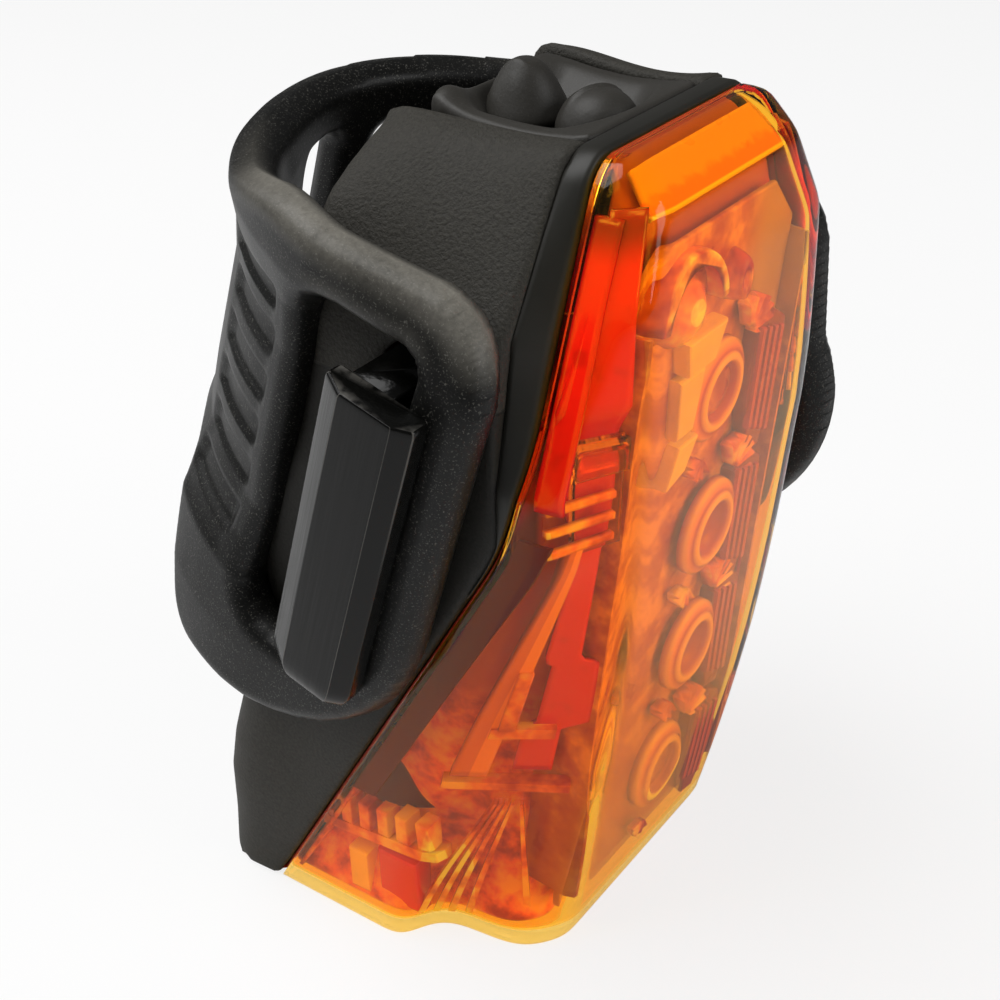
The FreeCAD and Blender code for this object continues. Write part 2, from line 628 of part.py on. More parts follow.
def make_housing():
    """Dark shell with sloped shoulders, bosses, a thick wall round the socket, and its openings."""
    gap = size.seam_gap
    shell = case_block(0).common(behind_seam(gap))
    rim_zone = Part.makeBox(2 * FAR, FAR, 2 * FAR, Vector(-FAR, size.rim_depth - size.rim_front - FAR, -FAR))
    shell = shell.cut(rim_zone).cut(case_block(size.case_wall))
    bosses = []
    for side in (-1, 1):
        for level in ("boss_low", "boss_high"):
            name = f"board_boss_{level}_{side}"
            length = "board_depth - case_wall + 0.4"
            bosses.append(rod(name, "boss_radius", length, f"{side}*boss_across", "-board_depth", level,
                              "y", BACK))
    border = "cover_plate_half + cover_plate_gap + port_border"
    deep = "cover_plate + cover_plate_gap + port_wall"
    low = "cover_plate_low - cover_plate_gap - port_border"
    high = "cover_plate_high + cover_plate + port_border"
    thick = block("port_wall_block", (f"-({border})", border), (f"-({deep})", "-case_wall + 0.2"),
                  (low, high), BACK)
    trimmed = common("port_wall_trimmed", [thick, solid("case_envelope", case_block(0.5 * size.case_wall))])
    joined = fuse("housing_body", [solid("housing_shell", shell), trimmed] + bosses)
    recess_half = "cover_plate_half + cover_plate_gap"
    recess_low = "cover_plate_low - cover_plate_gap"
    recess_high = "cover_plate_high + 0.5*cover_plate + cover_plate_gap"
    recess_deep = "cover_plate + cover_plate_gap"
    port_half = "socket_half + port_gap"
    port = ("socket_low - port_gap", "socket_low + socket_tall + port_gap")
    pad_edge = "pad_half + pad_gap"
    openings = [
        block("cover_recess", (f"-({recess_half})", recess_half), (f"-({recess_deep})", "2"),
              (recess_low, recess_high), BACK),
        block("socket_port", (f"-({port_half})", port_half), ("-board_depth", "1"), port, BACK),
        rod("hinge_bore", "hinge_pin", "2*(cover_plate_half + cover_plate_gap + pin_seat)",
            "-(cover_plate_half + cover_plate_gap + pin_seat)", "-0.5*cover_plate", "cover_plate_high", "x", BACK),
        block("pad_recess", (f"-({pad_edge})", pad_edge), ("-pad_sunk", "2"),
              ("pad_low - pad_gap", "pad_high + pad_gap"), BACK),
        block("cover_notch", ("-cover_half - cover_gap", "cover_half + cover_gap"),
              ("rim_depth - rim_front - 1", "back_foot"), ("cover_floor - cover_gap", "case_top + 5")),
    ]
    for side in (-1, 1):
        right = ("half_width - case_wall - 1", "half_width + 1")
        left = ("-half_width - 1", "1 + case_wall - half_width")
        x = right if side > 0 else left
        slot_deep = ("neck_front - hook_slot_gap", "neck_back + hook_slot_gap")
        slot_tall = ("hook_low - hook_slot_gap", "hook_high + hook_slot_gap")
        openings.append(block(f"hook_slot_{side}", x, slot_deep, slot_tall, STRAP))
        for level in ("post_low", "post_high"):
            openings += screw_holes(side, level)
    keep("rear_housing", cut("rear_housing", joined, openings))


def back_face_y(height):
    """Formula for the back face's place along Y at a height."""
    return f"back_foot - ({height})*tan(back_lean*1deg)"


def screw_holes(side, level):
    """The shank's hole and the head's seat in the back wall."""
    outside = back_face_y(level)
    across = f"{side}*post_across"
    seat = f"({outside}) - 0.5*case_wall - 0.4"
    hole = rod(f"screw_hole_{level}_{side}", "screw_radius + screw_gap", "4*case_wall",
               across, f"({outside}) - 3*case_wall", level, "y")
    head = rod(f"screw_seat_{level}_{side}", "screw_head + screw_gap", "4*case_wall", across, seat, level, "y")
    return [hole, head]


def make_screws():
    """Four screws: a shank in each post and a head seated in the back wall."""
    screws = []
    for side in (-1, 1):
        for level in ("post_low", "post_high"):
            outside = back_face_y(level)
            seat = f"({outside}) - 0.5*case_wall - 0.4"
            across = f"{side}*post_across"
            shank = rod(f"shank_{level}_{side}", "screw_radius", "screw_length", across,
                        f"({seat}) - screw_length", level, "y")
            head = rod(f"head_{level}_{side}", "screw_head", "screw_head_thick", across, seat, level, "y")
            drive = rod(f"drive_{level}_{side}", "0.45*screw_head", "screw_head_thick", across,
                        f"({seat}) + 0.5*screw_head_thick", level, "y")
            body = fuse(f"screw_body_{level}_{side}", [shank, head])
            screws.append(cut(f"screw_{level}_{side}", body, [drive]))
    keep("case_screws", group("case_screws", screws))


def make_rim():
    """Black frame between housing and lens, open in the middle."""
    ring = case_block(0).cut(case_block(size.case_wall)).common(behind_seam(size.seam_gap))
    reach = size.rim_front - size.rim_depth
    slab = Part.makeBox(2 * FAR, FAR, 2 * FAR, Vector(-FAR, -reach - FAR, size.rim_bend - BEND_REACH + 1))
    keep("lens_rim", solid("lens_rim", ring.common(slab)))


def make_seal():
    """Thin gasket that fills the seam behind the lens's edge."""
    outer = case_block(size.seal_inset)
    inner = case_block(size.seal_inset + size.seal_width)
    slab = behind_seam(0).cut(behind_seam(size.seam_gap))
    keep("lens_seal", solid("lens_seal", outer.cut(inner).common(slab)))


def make_lens():
    """Amber cover: a hollow faceted nose between two wings, ended by the seam."""
    shell = lens_block(0).cut(lens_block(size.lens_wall))
    keep("front_lens", solid("front_lens", shell.cut(behind_seam(0))))


def make_guides():
    """Red strips that follow the lens's side facets."""
    near = size.lens_wall + size.guide_gap
    far = near + size.guide_thick
    last = size.guide_high - size.guide_end
    sections = []
    for step in (0, 0.32, 0.64, 0.9, 1):
        height = size.guide_low + (last - size.guide_low) * step
        wide = min(size.guide_full, size.guide_foot + size.guide_slope * height)
        corners = [(size.guide_edge, near), (wide, near), (wide, far), (size.guide_edge, far)]
        sections.append([facet_point(height, share, depth) for share, depth in corners])
    guide = keep("light_guide_right", solid("light_guide_right", ruled(sections)))
    keep("light_guide_left", mirrored("light_guide_left", guide))


def make_prisms():
    """Clear bars that run down the wings along the lens's edge."""
    s = size
    outline = [
        (-s.prism_high_front, s.prism_high),
        (-s.prism_low_front, s.prism_low),
        (s.prism_wide - s.prism_low_front, s.prism_low + 0.5),
        (s.prism_wide - s.prism_high_front, s.prism_high + 0.8),
    ]
    bar = side_prism(outline, [0, 0, 0, 0], s.prism_in, s.prism_out)
    prism = keep("side_prism_right", solid("side_prism_right", bar))
    keep("side_prism_left", mirrored("side_prism_left", prism))


def new_body(name, frame=UPRIGHT):
    """A body whose features are drawn in a leaning frame."""
    body = doc.addObject("PartDesign::Body", name)
    place(body, frame, "0", "0", "0")
    return body


def sketch_on(body, role, name, offset="0"):
    """A sketch on one of the body's own origin planes, moved along its normal."""
    sketch = body.newObject("Sketcher::SketchObject", name)
    plane = [feature for feature in body.Origin.OriginFeatures if feature.Role == role][0]
    sketch.AttachmentSupport = [(plane, "")]
    sketch.MapMode = "FlatFace"
    bind(sketch, "AttachmentOffset.Base.z", offset)
    return sketch


def draw_polygon(sketch, points):
    """A closed outline whose corners are bound to formulas."""
    start = sketch.GeometryCount
    count = len(points)
    angles = [2 * math.pi * i / count for i in range(count)]
    spots = [Vector(math.cos(angle), math.sin(angle), 0) for angle in angles]
    for i in range(count):
        sketch.addGeometry(Part.LineSegment(spots[i], spots[(i + 1) % count]), False)
    for i in range(count):
        following = start + (i + 1) % count
        sketch.addConstraint(Sketcher.Constraint("Coincident", start + i, 2, following, 1))
    for i, (x, y) in enumerate(points):
        for kind, text in (("DistanceX", x), ("DistanceY", y)):
            index = sketch.addConstraint(Sketcher.Constraint(kind, -1, 1, start + i, 1, 1.0))
            bind(sketch, f"Constraints[{index}]", text)


def draw_circle(sketch, radius, x="0", y="0"):
    """A circle whose radius and centre are bound to formulas."""
    index = sketch.GeometryCount
    sketch.addGeometry(Part.Circle(Vector(1, 1, 0), Vector(0, 0, 1), 1), False)
    places = ((Sketcher.Constraint("Radius", index, 1.0), radius),
              (Sketcher.Constraint("DistanceX", -1, 1, index, 3, 1.0), x),
              (Sketcher.Constraint("DistanceY", -1, 1, index, 3, 1.0), y))
    for constraint, text in places:
        bind(sketch, f"Constraints[{sketch.addConstraint(constraint)}]", text)


def rectangle(x, y):
    return [(x[0], y[0]), (x[1], y[0]), (x[1], y[1]), (x[0], y[1])]


def pad(body, sketch, name, length):
    feature = body.newObject("PartDesign::Pad", name)
    feature.Profile = sketch
    bind(feature, "Length", length)
    body.Tip = feature
    return feature


def pocket(body, sketch, name, length):
    """Cut a sketch away on both sides of its plane."""
    before = body.Shape.Volume
    feature = body.newObject("PartDesign::Pocket", name)
    feature.Profile = sketch
    feature.SideType = "Symmetric"
    bind(feature, "Length", length)
    body.Tip = feature
    doc.recompute()
    if body.Shape.Volume >= before:
        raise RuntimeError(f"{name} removes nothing")
    return feature


def revolve(body, sketch, name):
    """Turn a half profile about the sketch's vertical axis."""
    feature = body.newObject("PartDesign::Revolution", name)
    feature.Profile = sketch
    feature.ReferenceAxis = (sketch, ["V_Axis"])
    feature.Angle = 360
    body.Tip = feature
    return feature


def make_button_cover():
    """Rubber cover: two ears at the back, a trough between low side edges, two holes."""
    s = size
    back = s.back_foot - s.cover_floor * math.tan(math.radians(s.back_lean))
    rise = math.tan(math.radians(s.back_lean))
    ear_back = back - (s.ear_height - s.cover_floor) * rise - 0.3
    outline = [
        (-s.cover_front, s.cover_floor),
        (back, s.cover_floor),
        (ear_back, s.ear_height),
        (ear_back - s.ear_deep, s.ear_height),
        (-s.laser_button_at - 1.0, s.dip_height + 0.4),
        (-s.light_button_at + 1.2, s.dip_height),
        (-s.cover_front, s.case_top),
    ]
    radii = [0, 0, s.ear_round, s.ear_round, s.ear_foot_round, s.dip_round, 0]
    slab = solid("cover_slab", side_prism(outline, radii, -s.cover_half, s.cover_half))
    ends = ("-trough_front + trough_half", "-trough_back - trough_half")
    middle = block("trough_middle", ("-trough_half", "trough_half"), ends, ("trough_floor", "ear_height + 2"))
    tall = "ear_height + 2 - trough_floor"
    rounds = [rod(f"trough_end_{i}", "trough_half", tall, "0", end, "trough_floor")
              for i, end in enumerate(ends)]
    holes = [rod(f"neck_hole_{at}", "button_neck + neck_gap", "10", "0", f"-{at}", "cover_floor - 2")
             for at in ("light_button_at", "laser_button_at")]
    keep("button_cover", cut("button_cover", slab, [middle] + rounds + holes))


def make_button(name, at, tip, top):
    """A rubber button: cap, neck through the cover, flange below it and a stem to the switch."""
    under = "plunger_top + plunger_play"
    flange_top = "cover_floor - stop_gap"
    flange_under = "cover_floor - stop_gap - flange_thick"
    profile = [
        ("0", under),
        ("stem_radius", under),
        ("stem_radius", flange_under),
        ("button_neck + neck_gap + 0.35", flange_under),
        ("button_neck + neck_gap + 0.35", flange_top),
        ("button_neck", flange_top),
        ("button_neck", "button_under"),
        ("button_radius", "button_under"),
        ("button_radius", "button_under + 0.5"),
    ]
    body = new_body(name)
    bind(body, "Placement.Base.y", f"-{at}")
    sketch = sketch_on(body, "XZ_Plane", f"{name}_profile")
    draw_polygon(sketch, profile + tip + [("0", top)])
    revolve(body, sketch, f"{name}_turned")
    keep(name, body)


def make_buttons():
    """The dome's crown is drawn by short chords, the peaked button's by a steep cone."""
    crown = []
    for share in (0.9, 0.7, 0.4):
        drop = 1 - math.sqrt(1 - share * share)
        crown.append((f"button_radius*{share}", f"dome_top - (dome_top - button_under - 0.5)*{drop:.3f}"))
    make_button("light_button", "light_button_at", crown, "dome_top")
    cone = [("button_radius*0.82", "button_under + 1.1"), ("button_radius*0.22", "peak_top - 0.25")]
    make_button("laser_button", "laser_button_at", cone, "peak_top")


def make_switches():
    """Two switch bodies on their board, each with a bored top and a plunger in the bore."""
    board = new_body("switch_board")
    sketch = sketch_on(board, "XY_Plane", "switch_board_outline", "switch_board_top - board_thick")
    draw_polygon(sketch, rectangle(("-switch_board_half", "switch_board_half"),
                                   ("-switch_board_front", "-switch_board_back")))
    pad(board, sketch, "switch_board_pad", "board_thick")
    keep("switch_board", board)
    for kind in ("light", "laser"):
        at = f"{kind}_button_at"
        half = "0.5*switch_width"
        body = new_body(f"{kind}_switch")
        sketch = sketch_on(body, "XY_Plane", f"{kind}_switch_outline", "switch_board_top")
        draw_polygon(sketch, rectangle((f"-{half}", half), (f"-{at} - {half}", f"-{at} + {half}")))
        pad(body, sketch, f"{kind}_switch_pad", "switch_height")
        doc.recompute()
        bore = sketch_on(body, "XY_Plane", f"{kind}_switch_bore", "switch_board_top + switch_height")
        draw_circle(bore, "plunger_radius + plunger_gap", "0", f"-{at}")
        pocket(body, bore, f"{kind}_switch_pocket", "2*(switch_height - 0.6)")
        keep(f"{kind}_switch", body)
        plunger = rod(f"{kind}_plunger", "plunger_radius", "plunger_length", "0", f"-{at}",
                      "plunger_top - plunger_length")
        keep(f"{kind}_plunger", plunger)


def make_led_board():
    """Emitter board with its four emitters and the small emitters for the sides."""
    board = new_body("led_board", EMITTERS)
    sketch = sketch_on(board, "XY_Plane", "led_board_outline", "led_board_low")
    draw_polygon(sketch, rectangle(("-led_board_half", "led_board_half"), ("0", "board_thick")))
    pad(board, sketch, "led_board_pad", "led_board_high - led_board_low")
    keep("led_board", board)
    half = "0.5*led_size"
    emitters = []
    for i in range(4):
        height = f"led_low + {i}*led_pitch"
        emitters.append(block(f"emitter_{i}", (f"-{half}", half), ("-led_thick", "0"),
                              (f"{height} - {half}", f"{height} + {half}"), EMITTERS))
    keep("led_emitters", group("led_emitters", emitters))
    small = "0.5*side_led_size"
    side = []
    for sign in (-1, 1):
        for i, height in enumerate(("led_low + 0.5*led_pitch", "led_low + 3.4*led_pitch")):
            x = (f"{sign}*side_led_across - {small}", f"{sign}*side_led_across + {small}")
            side.append(block(f"side_emitter_{sign}_{i}", x, ("-led_thick", "0"),
                              (f"{height} - {small}", f"{height} + {small}"), EMITTERS))
    keep("side_emitters", group("side_emitters", side))


def make_optic():
    """Clear plate with a conical collimator over each emitter."""
    plate = block("optic_plate", ("-optic_half", "optic_half"), ("-optic_front", "optic_thick - optic_front"),
                  ("optic_low", "optic_high"), EMITTERS)
    cones = []
    for i in range(4):
        cone = doc.addObject("Part::Cone", f"collimator_{i}")
        bind(cone, "Radius1", "collimator_front")
        bind(cone, "Radius2", "collimator_back")
        bind(cone, "Height", "optic_front - led_thick")
        place(cone, EMITTERS, "0", "-optic_front", f"led_low + {i}*led_pitch", "-90")
        cones.append(cone)
    legs = []
    for i, height in enumerate(("optic_low", "optic_high - 2")):
        legs.append(block(f"optic_leg_{i}", ("-optic_half + 0.5", "optic_half - 0.5"), ("-optic_front", "0"),
                          (height, f"{height} + 2"), EMITTERS))
    keep("led_optic", fuse("led_optic", [plate] + cones + legs))


def make_frame():
    """Chassis: upright plate with ears, a shelf at the base, a shelf under the switches, four posts."""
    y = ("board_thick", "board_thick + frame_thick")
    plate = block("frame_plate", ("-frame_half", "frame_half"), y, ("frame_low", "frame_high"), EMITTERS)
    ear = "post_across + post_radius"
    ears = block("frame_ears", (f"-({ear})", ear), y,
                 ("post_high - ear_plate - 1", "post_high + ear_plate - 1"), EMITTERS)
    shelf_top = "shelf_low + frame_thick"
    pieces = [
        plate,
        ears,
        block("shelf_middle", ("-shelf_half", "shelf_half"), ("-led_foot + 0.5", "shelf_step + 1"),
              ("shelf_low", shelf_top)),
        block("shelf_rear", ("-shelf_back_half", "shelf_back_half"), ("shelf_step", "shelf_back"),
              ("shelf_low", shelf_top)),
        block("switch_shelf", ("-switch_board_half", "switch_board_half"),
              ("-switch_board_front", "-switch_board_back"),
              ("switch_board_top - board_thick - frame_thick", "switch_board_top - board_thick")),
    ]
    bores = []
    for side in (-1, 1):
        across = f"{side}*post_across"
        high_end = f"({back_face_y('post_high')}) - case_wall - 0.9"
        low_end = f"({back_face_y('post_low')}) - case_wall - 0.9"
        high_start = "-led_foot - post_high*tan(led_lean*1deg) + board_thick + 0.4"
        pieces.append(rod(f"post_high_{side}", "post_radius", f"({high_end}) - ({high_start})",
                          across, high_start, "post_high", "y"))
        pieces.append(rod(f"post_low_{side}", "post_radius", f"({low_end}) - (shelf_step + 0.6)",
                          across, "shelf_step + 0.6", "post_low", "y"))
        web = (f"{across} - 0.6*post_radius", f"{across} + 0.6*post_radius")
        pieces.append(block(f"post_web_{side}", web, ("shelf_step + 0.6", "shelf_back - 0.4"),
                            ("shelf_low", "post_low")))
        for level, end in (("post_high", high_end), ("post_low", low_end)):
            bores.append(rod(f"pilot_{level}_{side}", "screw_radius + screw_gap", "screw_length",
                             across, f"({end}) + 0.5 - screw_length", level, "y"))
    keep("inner_frame", cut("inner_frame", fuse("frame_body", pieces), bores))


def laser_placement(across, along):
    """Place on a laser's axis: the lower end moved along the axis, and the axis's direction."""
    splay = math.radians(size.laser_splay)
    tilt = math.radians(size.laser_tilt)
    axis = Vector(-math.sin(splay) * across, math.sin(tilt) * math.cos(splay), math.cos(tilt) * math.cos(splay))
    foot = Vector(size.laser_across * across, -size.laser_front, size.laser_height)
    return foot + axis * along, axis


def laser_rod(name, side, radius, start, length):
    """A round piece on one laser's axis."""
    base, axis = laser_placement(side, start)
    return solid(name, Part.makeCylinder(radius, length, base, axis))


def make_lasers():
    """Splayed barrels with line lenses, held by a clamp bar that stands on the chassis shelf."""
    s = size
    rings = []
    bores = []
    for side, word in ((-1, "left"), (1, "right")):
        barrel = laser_rod(f"barrel_{word}", side, s.laser_radius, 0, s.laser_length)
        seat = laser_rod(f"lens_seat_{word}", side, s.laser_lens_radius, -1, 1 + s.laser_lens_thick)
        keep(f"laser_module_{word}", cut(f"laser_module_{word}", barrel, [seat]))
        lens = laser_rod(f"laser_lens_{word}", side, s.laser_lens_radius, 0.02, s.laser_lens_thick - 0.02)
        keep(f"laser_lens_{word}", lens)
        rings.append(laser_rod(f"clamp_{word}", side, s.laser_radius + s.clamp_gap + s.clamp_wall,
                               s.clamp_start, s.clamp_length))
        bores.append(laser_rod(f"clamp_bore_{word}", side, s.laser_radius + s.clamp_gap, -s.laser_length,
                               3 * s.laser_length))
    middle, axis = laser_placement(1, s.clamp_start + 0.5 * s.clamp_length)
    bar = Part.makeBox(2 * s.bar_half + 2, 3, 3, Vector(-s.bar_half - 1, middle.y - 1.5, middle.z - 1.5))
    foot_low = s.shelf_low + s.frame_thick
    foot = Part.makeBox(6, 3, middle.z - foot_low, Vector(-3, middle.y - 1.5, foot_low))
    body = fuse("bracket_body", rings + [solid("bracket_bar", bar.fuse(foot))])
    keep("laser_bracket", cut("laser_bracket", body, bores))


def make_main_board():
    """Main board before the back wall, its chips, the cell before it and the cell's wires."""
    board = new_body("main_board", BACK)
    sketch = sketch_on(board, "XY_Plane", "main_board_outline", "board_low")
    outline = rectangle(("-board_half", "board_half"), ("-board_depth - board_thick", "-board_depth"))
    draw_polygon(sketch, outline)
    pad(board, sketch, "main_board_pad", "board_high - board_low")
    keep("main_board", board)
    spots = [("-4.5", "24", "5", "5"), ("3.5", "26", "4", "3.2"), ("0", "36", "6", "4.2"), ("-5.5", "34", "2.4", "2")]
    chips = []
    for i, (x, z, wide, tall) in enumerate(spots):
        chips.append(block(f"chip_{i}", (f"{x} - 0.5*{wide}", f"{x} + 0.5*{wide}"),
                           ("-board_depth", "chip_thick - board_depth"),
                           (f"{z} - 0.5*{tall}", f"{z} + 0.5*{tall}"), BACK))
    keep("board_chips", group("board_chips", chips))
    cell = new_body("battery_cell", BACK)
    front = "-board_depth - board_thick - cell_gap - cell_thick"
    outline = sketch_on(cell, "XY_Plane", "cell_outline", "cell_low")
    draw_polygon(outline, rectangle(("-cell_half", "cell_half"), (front, f"{front} + cell_thick")))
    feature = pad(cell, outline, "cell_pad", "cell_high - cell_low")
    doc.recompute()
    upright = [f"Edge{i}" for i, edge in enumerate(feature.Shape.Edges, start=1)
               if abs(edge.BoundBox.ZLength - (size.cell_high - size.cell_low)) < 1e-6]
    rounds = cell.newObject("PartDesign::Fillet", "cell_rounds")
    rounds.Base = (feature, upright)
    bind(rounds, "Radius", "cell_round")
    cell.Tip = rounds
    keep("battery_cell", cell)
    wires = []
    middle = -size.board_depth - size.board_thick - size.cell_gap - 0.5 * size.cell_thick
    for side in (-1, 1):
        x = side * size.wire_across
        run = size.cell_high + 4 * size.wire_radius
        points = [Vector(x, middle, size.cell_high), Vector(x, middle, run),
                  Vector(x, -size.board_depth - size.board_thick, run)]
        wire = solid(f"wire_{side}", tube(points, size.wire_radius, 2 * size.wire_radius))
        place(wire, BACK, "0", "0", "0")
        wires.append(wire)
    keep("battery_leads", group("battery_leads", wires))


def make_socket():
    """Charging socket with a hollow mouth and a tongue, standing on the main board."""
    high = "socket_low + socket_tall"
    shell = block("socket_shell", ("-socket_half", "socket_half"), ("-board_depth", "-case_wall - 0.1"),
                  ("socket_low", high), BACK)
    mouth = block("socket_mouth", ("socket_skin - socket_half", "socket_half - socket_skin"),
                  ("-case_wall - mouth_depth", "1"), ("socket_low + socket_skin", f"{high} - socket_skin"), BACK)
    tongue = block("socket_tongue", ("1 - socket_half", "socket_half - 1"), ("-board_depth + 0.2", "-case_wall - 0.8"),
                   ("socket_low + 0.42*socket_tall", "socket_low + 0.62*socket_tall"), BACK)
    keep("charge_socket", fuse("charge_socket", [cut("socket_hollow", shell, [mouth]), tongue]))


def make_charge_cover():
    """Rubber flap with a hinge barrel on its upper edge and a finger lip at its foot."""
    half = "cover_plate_half"
    plate = block("flap_plate", (f"-{half}", half), ("-cover_plate", "0"),
                  ("cover_plate_low", "cover_plate_high"), BACK)
    barrel = rod("flap_barrel", "0.5*cover_plate", f"2*{half}", f"-{half}", "-0.5*cover_plate",
                 "cover_plate_high", "x", BACK)
    lip = block("flap_lip", ("-2.5", "2.5"), ("-0.2", "0.6"), ("cover_plate_low", "cover_plate_low + 0.9"), BACK)
    plug = block("flap_plug", ("1 - socket_half", "socket_half - 1"), ("-cover_plate - 0.2", "-0.5*cover_plate"),
                 ("socket_low + 0.4", "socket_low + socket_tall - 0.4"), BACK)
    bore = rod("flap_bore", "hinge_pin + hinge_gap", f"4*{half}", f"-2*{half}", "-0.5*cover_plate",
               "cover_plate_high", "x", BACK)
    keep("charge_cover", cut("charge_cover", fuse("flap_body", [plate, barrel, lip, plug]), [bore]))
    reach = "(cover_plate_half + cover_plate_gap + pin_seat)"
    pin = rod("cover_pin", "hinge_pin", f"2*{reach}", f"-{reach}", "-0.5*cover_plate", "cover_plate_high", "x", BACK)
    keep("cover_pin", pin)


def make_pad():
    """Rubber pad let into the back, hollowed by a round saddle for the seat post."""
    body = new_body("saddle_pad", BACK)
    outline = sketch_on(body, "XY_Plane", "pad_outline", "pad_low")
    draw_polygon(outline, rectangle(("-pad_half", "pad_half"), ("-pad_sunk", "pad_proud")))
    pad(body, outline, "pad_block", "pad_high - pad_low")
    doc.recompute()
    groove = sketch_on(body, "XY_Plane", "saddle_circle", "pad_low")
    draw_circle(groove, "saddle_radius", "0", "pad_proud - saddle_depth + saddle_radius")
    pocket(body, groove, "saddle_groove", "2*(pad_high - pad_low) + 2")
    keep("saddle_pad", body)


def make_strap():
    """Rubber band: straight sides over the hooks, a half round behind, and ladder windows.

    It sits turned to the right on its post, so its rung is off the middle, and the rounded pull
    end of its right side reaches forward past the hook.
    """
    s = size
    inner = "half_width + strap_gap"
    outer = "half_width + strap_gap + strap_thick"
    tall = ("strap_low - 5", "strap_high + 5")
    height = "strap_high - strap_low + 10"
    legs = [
        block("strap_leg_left", (f"-({outer})", f"-({inner})"), ("strap_start", "strap_turn"), tall, STRAP),
        block("strap_leg_right", (inner, outer), ("strap_start", "strap_turn"), tall, STRAP),
    ]
    ring = rod("strap_ring_outer", outer, height, "0", "strap_turn", tall[0], "z", STRAP)
    hole = rod("strap_ring_hole", inner, f"{height} + 2", "0", "strap_turn", f"{tall[0]} - 1", "z", STRAP)
    front = block("strap_ring_front", (f"-({outer}) - 5", f"{outer} + 5"),
                  (f"strap_turn - ({outer}) - 5", "strap_turn"), (f"{tall[0]} - 1", f"{tall[1]} + 1"), STRAP)
    band = fuse("strap_band", legs + [cut("strap_half_ring", ring, [hole, front])])
    reach = s.half_width + s.strap_gap + s.strap_thick
    apex = s.strap_turn + reach + 2
    shoulder = s.strap_turn + 0.45 * reach
    outline = [
        (s.strap_start, s.strap_low),
        (shoulder, s.strap_low),
        (shoulder + 5, s.band_low),
        (apex, s.band_low),
        (apex, s.band_high),
        (shoulder + 4, s.band_high + 1.0),
        (shoulder - 3, s.strap_high),
        (s.strap_start, s.strap_high),
    ]
    radii = [s.strap_corner, s.strap_low_round, s.band_round, 0, 0, s.strap_top_round, s.strap_top_round]
    radii.append(s.strap_brow)
    side_form = side_prism(outline, radii, -FAR, FAR)
    window = [
        (s.window_front, s.window_low),
        (s.window_back, s.window_low),
        (s.window_back, s.window_high),
        (s.window_front, s.window_high),
    ]
    corners = [s.window_tight, s.window_round, s.window_round, s.window_tight]
    side_window = side_prism(window, corners, -FAR, FAR)
    lean = Rotation(Vector(1, 0, 0), s.strap_lean)
    tools = [side_window]
    for side in (-1, 1):
        near = s.rung_shift + side * s.rung_half
        far = s.rung_shift + side * (s.rung_half + s.rung_window)
        points = [Vector(x, s.strap_turn, z) for x, z in
                  ((near, s.rung_low), (far, s.rung_low), (far, s.rung_high), (near, s.rung_high))]
        face = Part.Face(rounded_wire(points, [0.5 * s.window_round] * 4))
        tools.append(face.extrude(Vector(0, FAR, 0)))
    drop = s.strap_drop / (2 * reach)
    brow = [Vector(x, -FAR, z) for x, z in
            ((-FAR, s.strap_high + drop * (FAR - reach)), (FAR, s.strap_high - drop * (FAR + reach)),
             (FAR, s.strap_high + FAR), (-FAR, s.strap_high + FAR))]
    tools.append(Part.Face(Part.makePolygon(brow + brow[:1])).extrude(Vector(0, 2 * FAR, 0)))
    form = solid("strap_side_form", side_form)
    form.Placement = FreeCAD.Placement(Vector(0, 0, 0), lean)
    windows = []
    for i, tool in enumerate(tools):
        cutter = solid(f"strap_window_{i}", tool)
        cutter.Placement = FreeCAD.Placement(Vector(0, 0, 0), lean)
        windows.append(cutter)
    pull = rod("strap_pull_end", "pull_round", "strap_thick", inner, "pull_middle", "pull_height", "x", STRAP)
    whole = fuse("strap_whole", [common("strap_trimmed", [band, form]), pull])
    keep("mounting_strap", cut("mounting_strap", whole, windows))


def make_hooks():
    """Glossy hooks: a foot inside the wall, a neck through it and a bevelled bar outside."""
    foot_in = "half_width - case_wall - hook_foot"
    wall_in = "half_width - case_wall"
    bar_in = "half_width + strap_gap + strap_thick + hook_play"
    bar_out = f"{bar_in} + hook_thick"
    profile = [
        (f"{wall_in} - foot_bite", "neck_front"),
        (bar_in, "neck_front"),
        (bar_in, "hook_front"),
        (f"{bar_out} - 0.6*hook_bevel", "hook_front"),
        (bar_out, "hook_front + hook_bevel"),
        (bar_out, "hook_back - 1.6*hook_bevel"),
        (f"{bar_out} - hook_bevel", "hook_back"),
        (bar_in, "hook_back"),
        (bar_in, "neck_back"),
        (f"{wall_in} - foot_bite", "neck_back"),
    ]
    body = new_body("strap_hook_right", STRAP)
    sketch = sketch_on(body, "XY_Plane", "hook_profile", "hook_low")
    draw_polygon(sketch, profile)
    pad(body, sketch, "hook_pad", "hook_high - hook_low")
    doc.recompute()
    foot = sketch_on(body, "XY_Plane", "hook_foot_outline", "foot_low")
    foot_deep = ("neck_front - hook_foot_wide", "neck_back + hook_foot_wide")
    draw_polygon(foot, rectangle((foot_in, wall_in), foot_deep))
    pad(body, foot, "hook_foot_pad", "foot_high - foot_low")
    keep("strap_hook_right", body)
    keep("strap_hook_left", mirrored("strap_hook_left", body))


make_housing()
make_screws()
make_rim()
make_seal()
make_lens()
make_guides()
make_prisms()
make_button_cover()
make_buttons()
make_switches()
make_led_board()
make_optic()
make_frame()
make_lasers()
make_main_board()
make_socket()
make_charge_cover()
make_pad()
make_strap()
make_hooks()
doc.recompute()

for thing in doc.Objects:
    if "Invalid" in thing.State or "Error" in thing.State:
        raise RuntimeError(f"{thing.Name} failed: {thing.State}")
for name, thing in parts.items():
    if thing.Shape.isNull() or not thing.Shape.isValid() or not thing.Shape.Solids:
        raise RuntimeError(f"{name} has no valid solid")

